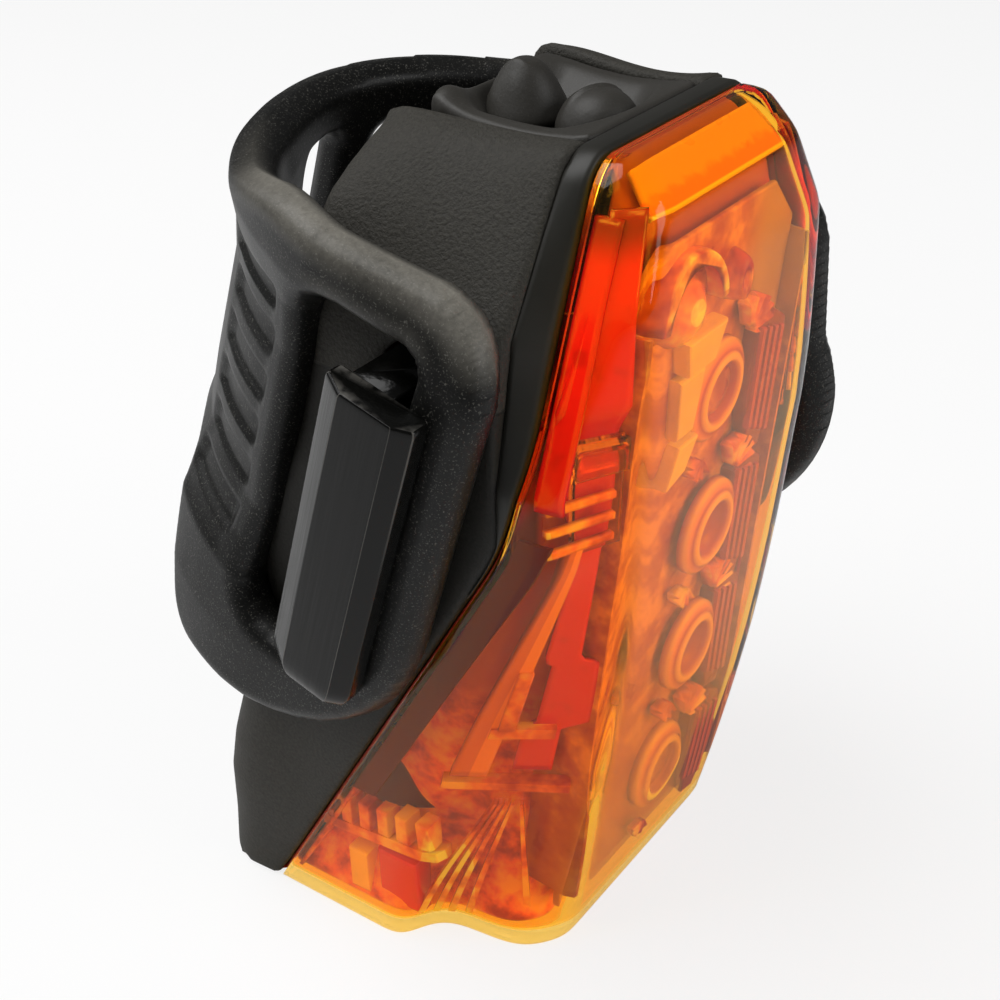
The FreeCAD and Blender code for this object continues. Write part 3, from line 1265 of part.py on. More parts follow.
os.makedirs("parts", exist_ok=True)
for name, thing in parts.items():
    thing.Shape.exportStep(f"parts/{name}.step")
    box = thing.Shape.BoundBox
    print(f"{name}: {len(thing.Shape.Solids)} solids, volume {thing.Shape.Volume:.1f}, "
          f"x {box.XMin:.1f} {box.XMax:.1f}, y {box.YMin:.1f} {box.YMax:.1f}, z {box.ZMin:.1f} {box.ZMax:.1f}")
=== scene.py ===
import json
import math

import bmesh
import bpy
import numpy as np
from mathutils import Matrix, Vector

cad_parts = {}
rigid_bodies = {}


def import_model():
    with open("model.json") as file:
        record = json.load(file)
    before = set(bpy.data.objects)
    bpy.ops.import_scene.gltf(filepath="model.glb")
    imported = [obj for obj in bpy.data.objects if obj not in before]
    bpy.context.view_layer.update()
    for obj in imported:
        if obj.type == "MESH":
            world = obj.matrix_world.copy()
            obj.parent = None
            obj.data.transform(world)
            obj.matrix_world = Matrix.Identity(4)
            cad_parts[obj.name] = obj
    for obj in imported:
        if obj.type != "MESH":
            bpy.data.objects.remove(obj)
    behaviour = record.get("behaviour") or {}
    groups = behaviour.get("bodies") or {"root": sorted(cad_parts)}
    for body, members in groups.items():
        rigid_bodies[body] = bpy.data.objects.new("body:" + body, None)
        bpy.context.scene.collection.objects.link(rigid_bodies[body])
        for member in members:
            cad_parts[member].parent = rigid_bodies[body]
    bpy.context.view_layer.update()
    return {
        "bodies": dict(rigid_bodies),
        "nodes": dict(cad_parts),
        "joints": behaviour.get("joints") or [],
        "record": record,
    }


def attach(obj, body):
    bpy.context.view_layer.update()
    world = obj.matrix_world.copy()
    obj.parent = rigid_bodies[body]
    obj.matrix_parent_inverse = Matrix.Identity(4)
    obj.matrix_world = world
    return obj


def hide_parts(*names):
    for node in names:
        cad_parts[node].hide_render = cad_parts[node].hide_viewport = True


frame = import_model()

# Lengths below are millimetres, +Z up, the lens faces -Y; build() turns them into metres.
BODY = "case"
NODES = frame["nodes"]
HEEL_TOP = (16.0, 26.0)
STRAP_TILT = 18.0
EMITTER_TILT = 6.4


# Finishes

class Signal:
    """A shader value. Arithmetic on it adds the Math nodes that work it out."""

    def __init__(self, finish, socket):
        self.finish = finish
        self.socket = socket

    def __add__(self, other):
        return self.finish.math("ADD", self, other)

    def __sub__(self, other):
        return self.finish.math("SUBTRACT", self, other)

    def __rsub__(self, other):
        return self.finish.math("SUBTRACT", other, self)

    def __mul__(self, other):
        return self.finish.math("MULTIPLY", self, other)

    __radd__ = __add__
    __rmul__ = __mul__

    def within(self, low, high):
        """0 below low, 1 above high, smooth between."""
        return self.finish.node("ShaderNodeMapRange", {"interpolation_type": "SMOOTHSTEP"},
                                {0: self, 1: low, 2: high, 3: 0.0, 4: 1.0})


class Finish:
    """One surface finish: a Principled shader whose plain values are set on its own sockets."""

    def __init__(self, name, **plain):
        self.material = bpy.data.materials.new(name)
        self.material.use_nodes = True
        self.tree = self.material.node_tree
        self.tree.nodes.clear()
        self.skin = self.tree.nodes.new("ShaderNodeBsdfPrincipled")
        self.output = self.tree.nodes.new("ShaderNodeOutputMaterial")
        self.tree.links.new(self.skin.outputs[0], self.output.inputs[0])
        self.feed(**plain)
        self.place = self.node("ShaderNodeTexCoord", {}, {}, "Object")

    def put(self, socket, value):
        if isinstance(value, Signal):
            self.tree.links.new(value.socket, socket)
        elif isinstance(value, (tuple, list)) and len(value) == 3 and socket.type == "RGBA":
            socket.default_value = (*value, 1.0)
        else:
            socket.default_value = value

    def node(self, kind, settings, inputs, out=0):
        """Add a node, set its settings, fill its sockets and return one output."""
        made = self.tree.nodes.new(kind)
        for name, value in settings.items():
            if name == "stops":
                ramp = made.color_ramp
                while len(ramp.elements) < len(value):
                    ramp.elements.new(0.5)
                for element, (position, colour) in zip(ramp.elements, value):
                    element.position = position
                    element.color = (*colour, 1.0)
            else:
                setattr(made, name, value)
        for key, value in inputs.items():
            self.put(made.inputs[key], value)
        return Signal(self, made.outputs[out])

    def feed(self, **sockets):
        """Fill the shader's sockets: base_color is Base Color, and so on."""
        for name, value in sockets.items():
            label = " ".join(word if word == "of" else word.capitalize() for word in name.split("_"))
            label = {"Ior": "IOR", "Specular Ior Level": "Specular IOR Level"}.get(label, label)
            self.put(self.skin.inputs[label], value)
        return self

    def math(self, operation, *values):
        return self.node("ShaderNodeMath", {"operation": operation}, dict(enumerate(values)))

    def mix(self, share, low, high):
        """Colour between low and high."""
        return self.node("ShaderNodeMix", {"data_type": "RGBA"}, {0: share, 6: low, 7: high}, 2)

    def ramp(self, value, *stops):
        return self.node("ShaderNodeValToRGB", {"stops": stops}, {0: value})

    def noise(self, size, detail=2.0, rough=0.5, where=None):
        """Noise whose blobs are about `size` millimetres wide."""
        inputs = {"Vector": where or self.place, "Scale": 1000.0 / size, "Detail": detail, "Roughness": rough}
        return self.node("ShaderNodeTexNoise", {}, inputs)

    def axis(self, name):
        """One coordinate in millimetres."""
        return self.node("ShaderNodeSeparateXYZ", {}, {0: self.place}, name) * 1000.0

    def beyond(self, name, low, high):
        """0 below low on one axis, 1 above high, in millimetres."""
        return self.axis(name).within(low, high)

    def stored(self, name):
        """A number kept on the mesh's points."""
        return self.node("ShaderNodeAttribute", {"attribute_name": name}, {}, "Fac")

    def ray(self, kind):
        """1 on one kind of ray, else 0."""
        return self.node("ShaderNodeLightPath", {}, {}, f"Is {kind} Ray")

    def seen(self):
        """1 on rays from the camera, also after they go through the lens."""
        return self.math("MAXIMUM", self.ray("Camera"), self.ray("Transmission"))

    def bump(self, height, depth):
        """Raise the surface by height times depth millimetres."""
        return self.node("ShaderNodeBump", {}, {"Height": height, "Distance": depth * 0.001, "Strength": 1.0})

    def swapped(self, share, shader):
        """Show another shader in this one's place, by share."""
        inputs = {0: share, 1: Signal(self, self.skin.outputs[0]), 2: shader}
        both = self.node("ShaderNodeMixShader", {}, inputs)
        self.tree.links.new(both.socket, self.output.inputs[0])
        return self


class Surroundings(Finish):
    """The world's own shader, fed with the same nodes as a finish."""

    def __init__(self, world):
        world.use_nodes = True
        self.tree = world.node_tree
        self.skin = self.tree.nodes["Background"]


def ink(r, g, b):
    """A screen colour, 0 to 255, as the linear numbers that shaders take."""
    return tuple(((c / 255 + 0.055) / 1.055) ** 2.4 if c > 10 else c / 255 / 12.92 for c in (r, g, b))


def tones(colour, dark, light):
    """A darker and a lighter version of a colour."""
    return [tuple(c * share for c in colour) for share in (dark, light)]


def moulded(name, colour, rough=0.62, grain=0.28, depth=0.03, smooth_below=None):
    """Moulded composite: fine grain and slight mottling.

    With smooth_below, it is finer below that height, and darker between the heel and that height.
    """
    f = Finish(name, specular_ior_level=0.25)
    fine = f.noise(grain, 3.0, 0.6)
    broad = f.noise(9.0, 2.0)
    tone = (fine - 0.5) * 2.2 + (broad - 0.5) * 0.35 + 0.5
    tint, height = f.mix(tone, *tones(colour, 0.72, 1.32)), fine
    if smooth_below is not None:
        above = f.beyond("Z", smooth_below - 0.15, smooth_below + 0.15)
        height = fine * (above * 0.75 + 0.25) + above * 1.5
        heel = 1.0 - f.beyond("Z", *HEEL_TOP)
        tint = f.mix(f.math("MAXIMUM", above, heel), f.mix(tone, *tones(colour, 0.324, 0.594)), tint)
    return f.feed(base_color=tint, roughness=(broad - 0.5) * 0.16 + rough, normal=f.bump(height, depth))


def rubber(name, colour, rough, speck, shine=0.35, dust=None):
    """Dusty rubber: faint light specks, a soft uneven sheen, and a painted highlight in light grey where the
    stored value says.
    """
    f = Finish(name, specular_ior_level=shine)
    fine = f.noise(0.35, 3.0, 0.65)
    cloud = f.noise(6.0, 3.0)
    speckle = f.noise(0.14, 2.0).within(0.58, 0.72) * speck
    tint = f.mix((fine - 0.5) * 0.5 + (cloud - 0.5) * 0.6 + 0.5, *tones(colour, 0.75, 1.3))
    skin = f.mix(speckle, tint, ink(150, 148, 140))
    if dust is not None:
        # Painted highlight: light grey mixed in, patchily, where the stored value is high.
        skin = f.mix(f.stored(dust) * (cloud * 0.5 + fine * 0.5), skin, ink(150, 146, 136))
    return f.feed(base_color=skin, roughness=(cloud - 0.5) * 0.2 + rough, normal=f.bump(fine, 0.02))


def gloss(name, colour, rough, coat, shine=0.5):
    """Polished moulded plastic in a plain colour, or in one that a function works out."""
    f = Finish(name, coat_weight=coat, coat_roughness=0.08, specular_ior_level=shine)
    cloud = f.noise(3.0, 3.0)
    tint = colour(f) if callable(colour) else f.mix(cloud, *tones(colour, 0.8, 1.2))
    return f.feed(base_color=tint, roughness=(cloud - 0.5) * 0.15 + rough,
                  normal=f.bump(f.noise(0.5, 2.0), 0.004))


def clear(name, tint, through, rough, ior=1.49, shine=0.5):
    """Clear moulding that bends light, and lets lamp light through in its own tint."""
    f = Finish(name, base_color=tint, transmission_weight=1.0, ior=ior, roughness=rough,
               specular_ior_level=shine)
    return f.swapped(f.ray("Shadow"), f.node("ShaderNodeBsdfTransparent", {}, {0: through}))


def metal(name, colour, rough):
    """Bare metal with a slightly uneven shine."""
    f = Finish(name, metallic=1.0)
    cloud = f.noise(1.2, 3.0)
    return f.feed(base_color=f.mix(cloud, *tones(colour, 0.8, 1.0)), roughness=(cloud - 0.5) * 0.2 + rough)


def board(name, colour):
    """Solder mask with faint tracks."""
    f = Finish(name, roughness=0.4)
    track = f.node("ShaderNodeTexBrick", {}, {"Vector": f.place, "Scale": 260.0}, "Fac")
    light = tuple(min(1, c * 1.6 + 0.02) for c in colour)
    return f.feed(base_color=f.mix(track, colour, light), normal=f.bump(track, 0.02))


def hook_finish():
    """Black gloss with fine lines along the bar, and a painted highlight in light grey along its edges."""
    f = Finish("hook_gloss", coat_weight=0.0, coat_roughness=0.08, specular_ior_level=0.2)
    upright = f.node("ShaderNodeMapping", {}, {0: f.place, 2: (math.radians(-STRAP_TILT), 0, 0)})
    drawn = f.node("ShaderNodeVectorMath", {"operation": "MULTIPLY"}, {0: upright, 1: (1.0, 1.0, 0.04)})
    # Painted highlight: light grey on the edges the stored value marks, broken into streaks along the bar.
    edge_highlight = f.stored("edge") * f.noise(0.9, 2.0, 0.5, drawn).within(0.3, 0.6)
    return f.feed(base_color=f.mix(edge_highlight, ink(9, 9, 8), ink(88, 86, 82)),
                  roughness=(f.noise(3.0, 3.0) - 0.5) * 0.15 + 0.2,
                  normal=f.bump(f.noise(0.5, 2.0, 0.5, drawn), 0.03))


def amber_colour(f):
    """Patches in which light pools: deep, middle and bright."""
    patch = f.noise(3.5, 3.0, 0.55)
    return f.ramp(patch, (0.36, (0.5, 0.06, 0.015)), (0.5, (0.92, 0.34, 0.05)), (0.62, (1.0, 0.9, 0.3)))


def guide_colour(f):
    """Vivid red, darker towards the guide's upper end."""
    dark = f.beyond("Z", 60.0, 62.5)
    blotch = f.noise(2.5, 2.0).within(0.6, 0.75) * 0.4
    return f.mix(dark + blotch, (0.72, 0.012, 0.015), (0.25, 0.008, 0.008))


def tray_colour(f):
    """Mottled orange, deeper at the foot, with a painted reflection in pale tan towards the upper right."""
    # Painted reflection: pale tan over the upper right.
    tan = f.beyond("X", 2.0, 7.0) * f.beyond("Z", 44.0, 54.0)
    mottle = f.noise(3.0, 3.0, 0.6)
    base = f.ramp(mottle, (0.36, (0.44, 0.1, 0.015)), (0.5, (0.6, 0.24, 0.025)), (0.63, (0.9, 0.56, 0.07)))
    foot = (1.0 - f.beyond("Z", 6.0, 24.0)) * 0.75
    return f.mix(tan, f.mix(foot, base, (0.34, 0.07, 0.015)), (0.5, 0.42, 0.3))


def brow_colour(f):
    """Painted reflection in tan brown above, orange speckle lower down, and a painted highlight: a bright
    yellow line at the edge.
    """
    height = f.axis("Z") + (f.noise(0.8, 2.0) - 0.5) * 0.9
    # Painted reflection: tan on the upper part of the band, orange below it.
    low = f.mix(height.within(63.2, 63.7), (0.85, 0.26, 0.05), (0.62, 0.42, 0.18))
    # Painted highlight: a bright yellow line along the band's lower edge.
    return f.mix(f.beyond("Z", 62.75, 62.85), (1.0, 0.95, 0.6), low)


def bar_colour(f):
    """Two tones, split along the bar's middle."""
    return f.mix(f.stored("across").within(0.48, 0.52), (0.75, 0.27, 0.12), (1.0, 0.5, 0.12))


def wing_colour(f):
    """Backing of the wings: deep orange below, dark brown higher up, red at the top."""
    patch = f.noise(3.2, 4.0, 0.6)
    low = f.ramp(patch, (0.36, (0.4, 0.02, 0.008)), (0.5, (0.9, 0.22, 0.03)), (0.62, (1.0, 0.66, 0.12)))
    aside = f.math("ABSOLUTE", f.axis("X")).within(14.2, 14.9)
    high = f.mix(aside, (0.62, 0.12, 0.02), (0.1, 0.008, 0.004))
    mid = f.mix(f.beyond("Z", 22.0, 28.0), low, high)
    top = f.mix(f.beyond("Z", 59.0, 61.0), (0.6, 0.02, 0.02), (0.5, 0.17, 0.06))
    return f.mix(f.beyond("Z", 43.0, 46.0), mid, top)


def ring_painted_light(f):
    """Pod ring: painted highlights on the crest, painted shade in the throat and at the foot."""
    # Painted shade in the throat, the outer dip and the foot; painted highlights on the crest and the outer
    # shoulder.
    dark, mid, bright = (0.55, 0.1, 0.02), (0.9, 0.4, 0.06), (1.0, 0.78, 0.2)
    return f.ramp(f.stored("ring"), (0.0, dark), (0.18, dark), (0.32, bright), (0.5, bright), (0.6, dark),
                  (0.72, mid), (0.88, bright), (1.0, dark))


HOUSING = moulded("grained_composite", ink(50, 48, 43), grain=0.26, depth=0.12, smooth_below=52.0)
RIM = gloss("satin_black", ink(36, 35, 31), 0.42, 0.0, 0.3)
SEAL = rubber("seal_rubber", ink(165, 45, 14), 0.5, 0.0)
# The strap's stored value paints a highlight along its upper edge.
STRAP = rubber("strap_rubber", ink(13, 13, 12), 0.42, 0.26, 0.22, "dust")
COVER = rubber("cover_rubber", ink(46, 44, 40), 0.5, 0.05)
HOOK = hook_finish()
LENS = clear("amber_lens", (1.0, 0.47, 0.025), (1.0, 0.92, 0.35), 0.02, 1.3, 0.2)
OPTIC = clear("optic_clear", (1.0, 0.8, 0.45), (1.0, 0.85, 0.55), 0.03)
PRISM = clear("light_bar", (1.0, 0.62, 0.2), (1.0, 0.7, 0.3), 0.06)
LINE_LENS = clear("line_lens", (0.95, 0.97, 1.0), (0.95, 0.97, 1.0), 0.02, 1.5)
AMBER = gloss("amber_moulding", amber_colour, 0.2, 0.2)
PURPLE = gloss("plum_moulding", (0.5, 0.06, 0.07), 0.25, 0.2)
DEEP = gloss("deep_moulding", (0.25, 0.02, 0.02), 0.3, 0.1)
DARK = gloss("brown_moulding", (0.1, 0.012, 0.006), 0.4, 0.0, 0.1)
YELLOW = gloss("yellow_edge", (1.0, 1.0, 0.8), 0.15, 0.6)
GUIDE = gloss("red_guide", guide_colour, 0.2, 0.5)
TRAY = gloss("amber_tray", tray_colour, 0.3, 0.4)
BROW = gloss("brow_band", brow_colour, 0.3, 0.4)
BAR = gloss("amber_bar", bar_colour, 0.2, 0.5)
WING = gloss("wing_backing", wing_colour, 0.35, 0.3)
RING = gloss("pod_ring", ring_painted_light, 0.2, 0.3)
WHITE_BOARD = board("white_mask", (0.75, 0.6, 0.4))
GREEN_BOARD = board("green_mask", ink(18, 64, 38))
PHOSPHOR = gloss("phosphor", (0.9, 0.75, 0.2), 0.3, 0.2)
CHASSIS = gloss("chassis_plastic", (0.09, 0.012, 0.006), 0.4, 0.0, 0.15)
BRASS = metal("turned_brass", (0.9, 0.7, 0.35), 0.3)
STEEL = metal("plated_steel", (0.5, 0.5, 0.52), 0.35)
FOIL = metal("cell_foil", (0.7, 0.7, 0.72), 0.4)
WIRE = gloss("wire_sleeve", (0.5, 0.02, 0.02), 0.4, 0.0)
BLACK = moulded("black_plastic", ink(26, 26, 26), 0.5, 0.5)

# The finish of each of the record's material slots
SLOTS = {
    "housing": HOUSING, "rim": RIM, "seal": SEAL, "lens": LENS, "clear": OPTIC, "red_guide": GUIDE,
    "light_bar": PRISM, "board": WHITE_BOARD, "circuit": GREEN_BOARD, "emitter": PHOSPHOR, "chassis": CHASSIS,
    "barrel": BRASS, "line_lens": LINE_LENS, "cell": FOIL, "wire": WIRE, "chip": BLACK, "switch": BLACK,
    "socket": STEEL, "screw": STEEL, "cover_rubber": COVER, "strap_rubber": STRAP, "hook": HOOK,
}


def wear(thing, finish):
    """Give a piece one finish."""
    thing.data.materials.clear()
    thing.data.materials.append(finish.material)


for part in frame["record"]["subparts"]:
    wear(NODES[part["node"]], SLOTS[part["material_slot"]])


# Surfaces

def unit(vectors):
    """Vectors of length 1."""
    return vectors / np.maximum(np.linalg.norm(vectors, axis=-1, keepdims=True), 1e-9)


def right_of(run):
    """Directions of length 1 square to flat runs, on their right."""
    run = unit(run)
    return grid_of(run[:, 1], -run[:, 0])


def climb(value, start, end):
    """0 at start, 1 at end, straight between and flat beyond; end may lie below start."""
    return np.clip((value - start) / (end - start), 0, 1)


def softly(share):
    """A share from 0 to 1 with a soft start and a soft end."""
    return share * share * (3 - 2 * share)


def grid_of(*axes):
    """Points from the arrays of their coordinates."""
    return np.stack(np.broadcast_arrays(*axes), -1)


def raised(outlines, levels):
    """Flat outlines, each carried to its own level as a third coordinate."""
    return np.concatenate([outlines, np.broadcast_to(levels[:, None, None], outlines.shape[:2] + (1,))], 2)


def grid_faces(rows, columns, closed=False):
    """Quads of a grid of points, as an array of corner indices."""
    row = np.arange(rows - 1)[:, None] * columns
    column = np.arange(columns if closed else columns - 1)[None, :]
    nxt = (column + 1) % columns
    return np.stack([row + column, row + nxt, row + columns + nxt, row + columns + column], -1).reshape(-1, 4)


def wall_between(outer, inner):
    """Points and faces of a closed wall: two equal grids and the strips round their rims."""
    rows, columns = outer.shape[:2]
    count = rows * columns
    grid = np.arange(count).reshape(rows, columns)
    loop = np.concatenate([grid[0, :-1], grid[:-1, -1], grid[-1, :0:-1], grid[:0:-1, 0]])
    nxt = np.roll(loop, -1)
    rim = np.stack([nxt, loop, loop + count, nxt + count], -1)
    faces = grid_faces(rows, columns)
    points = np.concatenate([outer.reshape(-1, 3), inner.reshape(-1, 3)])
    return points, np.concatenate([faces, faces[:, ::-1] + count, rim])


def build(name, points, faces, finish, slot="clear", body=BODY, replaces=(), smooth=True, stored=None):
    """Make a piece from points in millimetres and lists of corner indices, riding on a body."""
    mesh = bpy.data.meshes.new(name)
    points = np.asarray(points, float).reshape(-1, 3) * 0.001
    lists = outward(points, faces)
    loops = np.concatenate([f.reshape(-1) for f in lists])
    sizes = np.concatenate([np.full(len(f), f.shape[1]) for f in lists])
    mesh.vertices.add(len(points))
    mesh.vertices.foreach_set("co", points.reshape(-1))
    mesh.loops.add(len(loops))
    mesh.loops.foreach_set("vertex_index", loops.astype(np.int32))
    mesh.polygons.add(len(sizes))
    mesh.polygons.foreach_set("loop_start", (np.cumsum(sizes) - sizes).astype(np.int32))
    mesh.polygons.foreach_set("use_smooth", np.full(len(sizes), smooth))
    mesh.update(calc_edges=True)
    mesh.validate()
    for label, values in (stored or {}).items():
        layer = mesh.attributes.new(label, "FLOAT", "POINT")
        layer.data.foreach_set("value", np.asarray(values, np.float32).reshape(-1))
    thing = bpy.data.objects.new(name, mesh)
    bpy.context.scene.collection.objects.link(thing)
    wear(thing, finish)
    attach(thing, body)
    if replaces:
        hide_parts(*replaces)
    return thing


def outward(points, faces):
    """Faces turned so that the closed form they make has a positive volume."""
    lists = [np.asarray(f) for f in (faces if isinstance(faces, list) else [faces])]
    volume = 0.0
    for f in lists:
        corner = points[f]
        for k in range(1, f.shape[1] - 1):
            volume += (corner[:, 0] * np.cross(corner[:, k], corner[:, k + 1])).sum()
    return [f[:, ::-1] for f in lists] if volume < 0 else lists


def leaning(points, foot, degrees):
    """Points of a leaning frame: turned about X, then moved along Y to the frame's foot."""
    points = np.asarray(points, float)
    a = math.radians(degrees)
    x, y, z = points[..., 0], points[..., 1], points[..., 2]
    return grid_of(x, foot + y * math.cos(a) - z * math.sin(a), y * math.sin(a) + z * math.cos(a))


def strap_frame(points):
    return leaning(points, 0.0, STRAP_TILT)


def emitter_frame(points):
    return leaning(points, -8.5, EMITTER_TILT)


def side_frame(points):
    """Outlines drawn in Y and Z, carried along X."""
    return points[..., [1, 0, 2]]


def looked_up(at, known, points):
    """Points at given places along a line of known ones."""
    return np.stack([np.interp(at, known, column) for column in points.T], -1)


def eased(values, steps, width):
    """Values on even steps, or columns of them, averaged with a bell curve of the given width."""
    reach = max(1, int(3 * width / steps))
    offsets = np.arange(-reach, reach + 1)
    bell = np.exp(-0.5 * (offsets * steps / width) ** 2)
    before = 2 * values[0] - values[reach:0:-1]
    after = 2 * values[-1] - values[-2:-reach - 2:-1]
    padded = np.concatenate([before, values, after])
    return np.apply_along_axis(np.convolve, 0, padded, bell / bell.sum(), "valid")


# Shared outlines

def box_outline(x0, x1, z0, z1):
    return [(x0, z0), (x1, z0), (x1, z1), (x0, z1)]


def rounded_loop(corners, radii, steps=10):
    """A closed outline whose corners are arcs of the given radii, walked as given."""
    corners, radii = np.asarray(corners, float), np.asarray(radii, float)[:, None]
    back = unit(np.roll(corners, 1, 0) - corners)
    on = unit(np.roll(corners, -1, 0) - corners)
    half = 0.5 * np.arccos(np.clip((back * on).sum(1), -1, 1))[:, None]
    cut = radii / np.tan(half)
    first, second = corners + back * cut, corners + on * cut
    middle = corners + unit(back + on) * radii / np.sin(half)
    whole = (np.pi - 2 * half)[:, None]
    turn = np.linspace(0, 1, steps)[None, :, None] * whole
    arm, other = (first - middle)[:, None], (second - middle)[:, None]
    spread = np.where(np.abs(np.sin(whole)) < 1e-6, 1e-6, np.sin(whole))
    arcs = middle[:, None] + (np.sin(whole - turn) * arm + np.sin(turn) * other) / spread
    return arcs.reshape(-1, 2)


def edge_distance(points, loops):
    """Distance from points to the nearest outline: positive in the material, negative outside it."""
    best = np.full(len(points), 1e9)
    inside = np.zeros(len(points), bool)
    for loop in loops:
        a, b = loop, np.roll(loop, -1, 0)
        run = b - a
        rel = points[:, None] - a[None]
        share = np.clip((rel * run).sum(2) / ((run**2).sum(1) + 1e-12), 0, 1)
        best = np.minimum(best, np.linalg.norm(rel - share[:, :, None] * run, axis=2).min(1))
        crosses = (a[:, 1] > points[:, 1:]) != (b[:, 1] > points[:, 1:])
        fall = np.where(np.abs(run[:, 1]) < 1e-12, 1e-12, run[:, 1])
        where = a[:, 0] + run[:, 0] * (points[:, 1:] - a[:, 1]) / fall
        inside ^= (crosses & (points[:, :1] < where)).sum(1) % 2 == 1
    return np.where(inside, best, -best)


def swept(sections, closed_path=False):
    """Points and faces of a tube: an array of closed section loops, capped at both ends."""
    rows, columns = sections.shape[:2]
    faces = [grid_faces(rows + closed_path, columns, closed=True) % (rows * columns)]
    if not closed_path:
        faces += [np.arange(columns)[None, ::-1], (np.arange(columns) + (rows - 1) * columns)[None]]
    return sections.reshape(-1, 3), faces


def block(outline, y0, y1, soft=0.15, frame=emitter_frame):
    """An outline in X and Z carried from y0 to y1 with softened edges."""
    outline = np.asarray(outline, float)
    toward = unit(outline.mean(0) - outline)
    little = soft * 0.3
    levels = [(y0, soft), (y0 + little, little), (y0 + soft, 0)]
    levels += [(y1 - soft, 0), (y1 - little, little), (y1, soft)]
    rings = [np.insert(outline + toward * inset, 1, y, axis=1) for y, inset in levels]
    return swept(frame(np.stack(rings)))


ROUND_STEPS = 48


def turned(profile, centre, squeeze=1.0):
    """A profile of radius and Y turned about the Y axis through the centre (X, Z); closed at the pole."""
    profile = np.asarray(profile, float)
    angle = np.linspace(0, 2 * np.pi, ROUND_STEPS, endpoint=False)[None, :]
    r, y = profile[:, :1], profile[:, 1:]
    rows = grid_of(centre[0] + r * np.cos(angle), y, centre[1] + squeeze * r * np.sin(angle))
    return swept(emitter_frame(rows))


def together(*parts):
    """Several closed forms as one mesh."""
    points, faces, start = [], [], 0
    for some, lists in parts:
        points.append(some)
        faces += [f + start for f in outward(some, lists)]
        start += len(some)
    return np.concatenate(points), faces


def read(items, field, width=1, kind=int):
    """One field of every item of a mesh, as an array."""
    found = np.empty(len(items) * width, kind)
    items.foreach_get(field, found)
    return found


def softened(node, name, finish, slot, voxel, passes, body=BODY, where=None, swell=None):
    """A merged copy of a CAD node in even quads, its creases rounded by averaging neighbours."""
    thing = NODES[node].copy()
    thing.data = NODES[node].data.copy()
    thing.name = thing.data.name = name
    bpy.context.scene.collection.objects.link(thing)
    work = bmesh.new()
    work.from_mesh(thing.data)
    bmesh.ops.remove_doubles(work, verts=work.verts, dist=1e-7)
    work.to_mesh(thing.data)
    work.free()
    remesh = thing.modifiers.new("even", "REMESH")
    remesh.mode = "VOXEL"
    remesh.voxel_size = voxel * 0.001
    even = bpy.data.meshes.new_from_object(thing.evaluated_get(bpy.context.evaluated_depsgraph_get()))
    bpy.data.objects.remove(thing)
    count = len(even.vertices)
    points = read(even.vertices, "co", 3, float).reshape(-1, 3) * 1000
    a, b = read(even.edges, "vertices", 2).reshape(-1, 2).T
    degree = np.bincount(np.concatenate([a, b]), minlength=count)[:, None]
    weight = np.ones((count, 1)) if where is None else where(points)[:, None]
    if swell is not None:
        points = points + swell(points)
    for i in range(passes):
        share = (weight if i >= 3 else np.maximum(weight, 0.6)) * 0.5
        mean = np.stack([np.bincount(a, points[b, k], count) + np.bincount(b, points[a, k], count)
                         for k in range(3)], -1) / degree
        points = points + (mean - points) * share
    corners = read(even.loops, "vertex_index")
    sizes = read(even.polygons, "loop_total")
    quads = corners[np.repeat(sizes == 4, sizes)].reshape(-1, 4)
    rest = corners[np.repeat(sizes == 3, sizes)].reshape(-1, 3)
    bpy.data.meshes.remove(even)
    return build(name, points, [f for f in (quads, rest) if len(f)], finish, slot, body, (node,))


# The lens

LENS_TOP = 66.5
CASE_TOP = 66.7
SIDE = 18.7
CORNER_ROUND = 3.0
CORNER_FOOT = 64.9
CORNER_MIDDLE = (7.93, 63.7)
BROW_FOOT = 58.0
LENS_WALL = 1.2
EDGE = 0.7
BEND = 0.7
SEAM_SLANT = math.atan2(26.7, 44.8)
SEAM_BEND = 24.0
SEAM_KNEE = 44.8
SEAM_FRONT = -17.0


def seam_table():
    """The seam's height and depth: a slant from the base, an arc, then upright."""
    reach = SEAM_BEND * math.tan(SEAM_SLANT / 2)
    turn = np.linspace(SEAM_SLANT, 0, 24)
    slant, rise = math.sin(SEAM_SLANT), math.cos(SEAM_SLANT)
    low = np.array([SEAM_KNEE - reach * rise, SEAM_FRONT + reach * slant])
    arc_points = low + SEAM_BEND * (np.array([slant, rise]) - grid_of(np.sin(turn), np.cos(turn)))
    return np.concatenate([[(0.0, 9.7)], arc_points, [(70.0, SEAM_FRONT)]]).T


SEAM_Z, SEAM_Y = seam_table()


def seam_at(z):
    return np.interp(z, SEAM_Z, SEAM_Y)


def side_half(z):
    """Half width at the seam: upright, leaning in above 46.3 mm, then an arc into the top."""
    line = np.minimum(SIDE, 9.9 + (CASE_TOP - z) * 8.8 / 20.4)
    x, middle = CORNER_MIDDLE
    arc = x + np.sqrt(np.maximum(0, CORNER_ROUND**2 - (z - middle) ** 2))
    return np.where(z > CORNER_FOOT, arc, line)


def nose_front(z):
    """How far the nose stands forward: a parabola, a straight brow, then the top bevel."""
    low = 14.8 + 7.4 * (1 - (1 - np.minimum(z, BROW_FOOT) / BROW_FOOT) ** 2)
    return np.where(z <= BROW_FOOT, low, np.interp(z, [BROW_FOOT, 64, LENS_TOP], [22.2, 21.3, 18.8]))


def face_half(z):
    """Half width of the flat face."""
    return np.interp(z, [0, 20, BROW_FOOT, 64, LENS_TOP], [11.2, 12.25, 12.25, 9.2, 8.1])


def wing_front(z):
    """How far the wings' edge stands forward."""
    return 3.5 + 15.3 * np.minimum(1, z / 42) ** 1.6


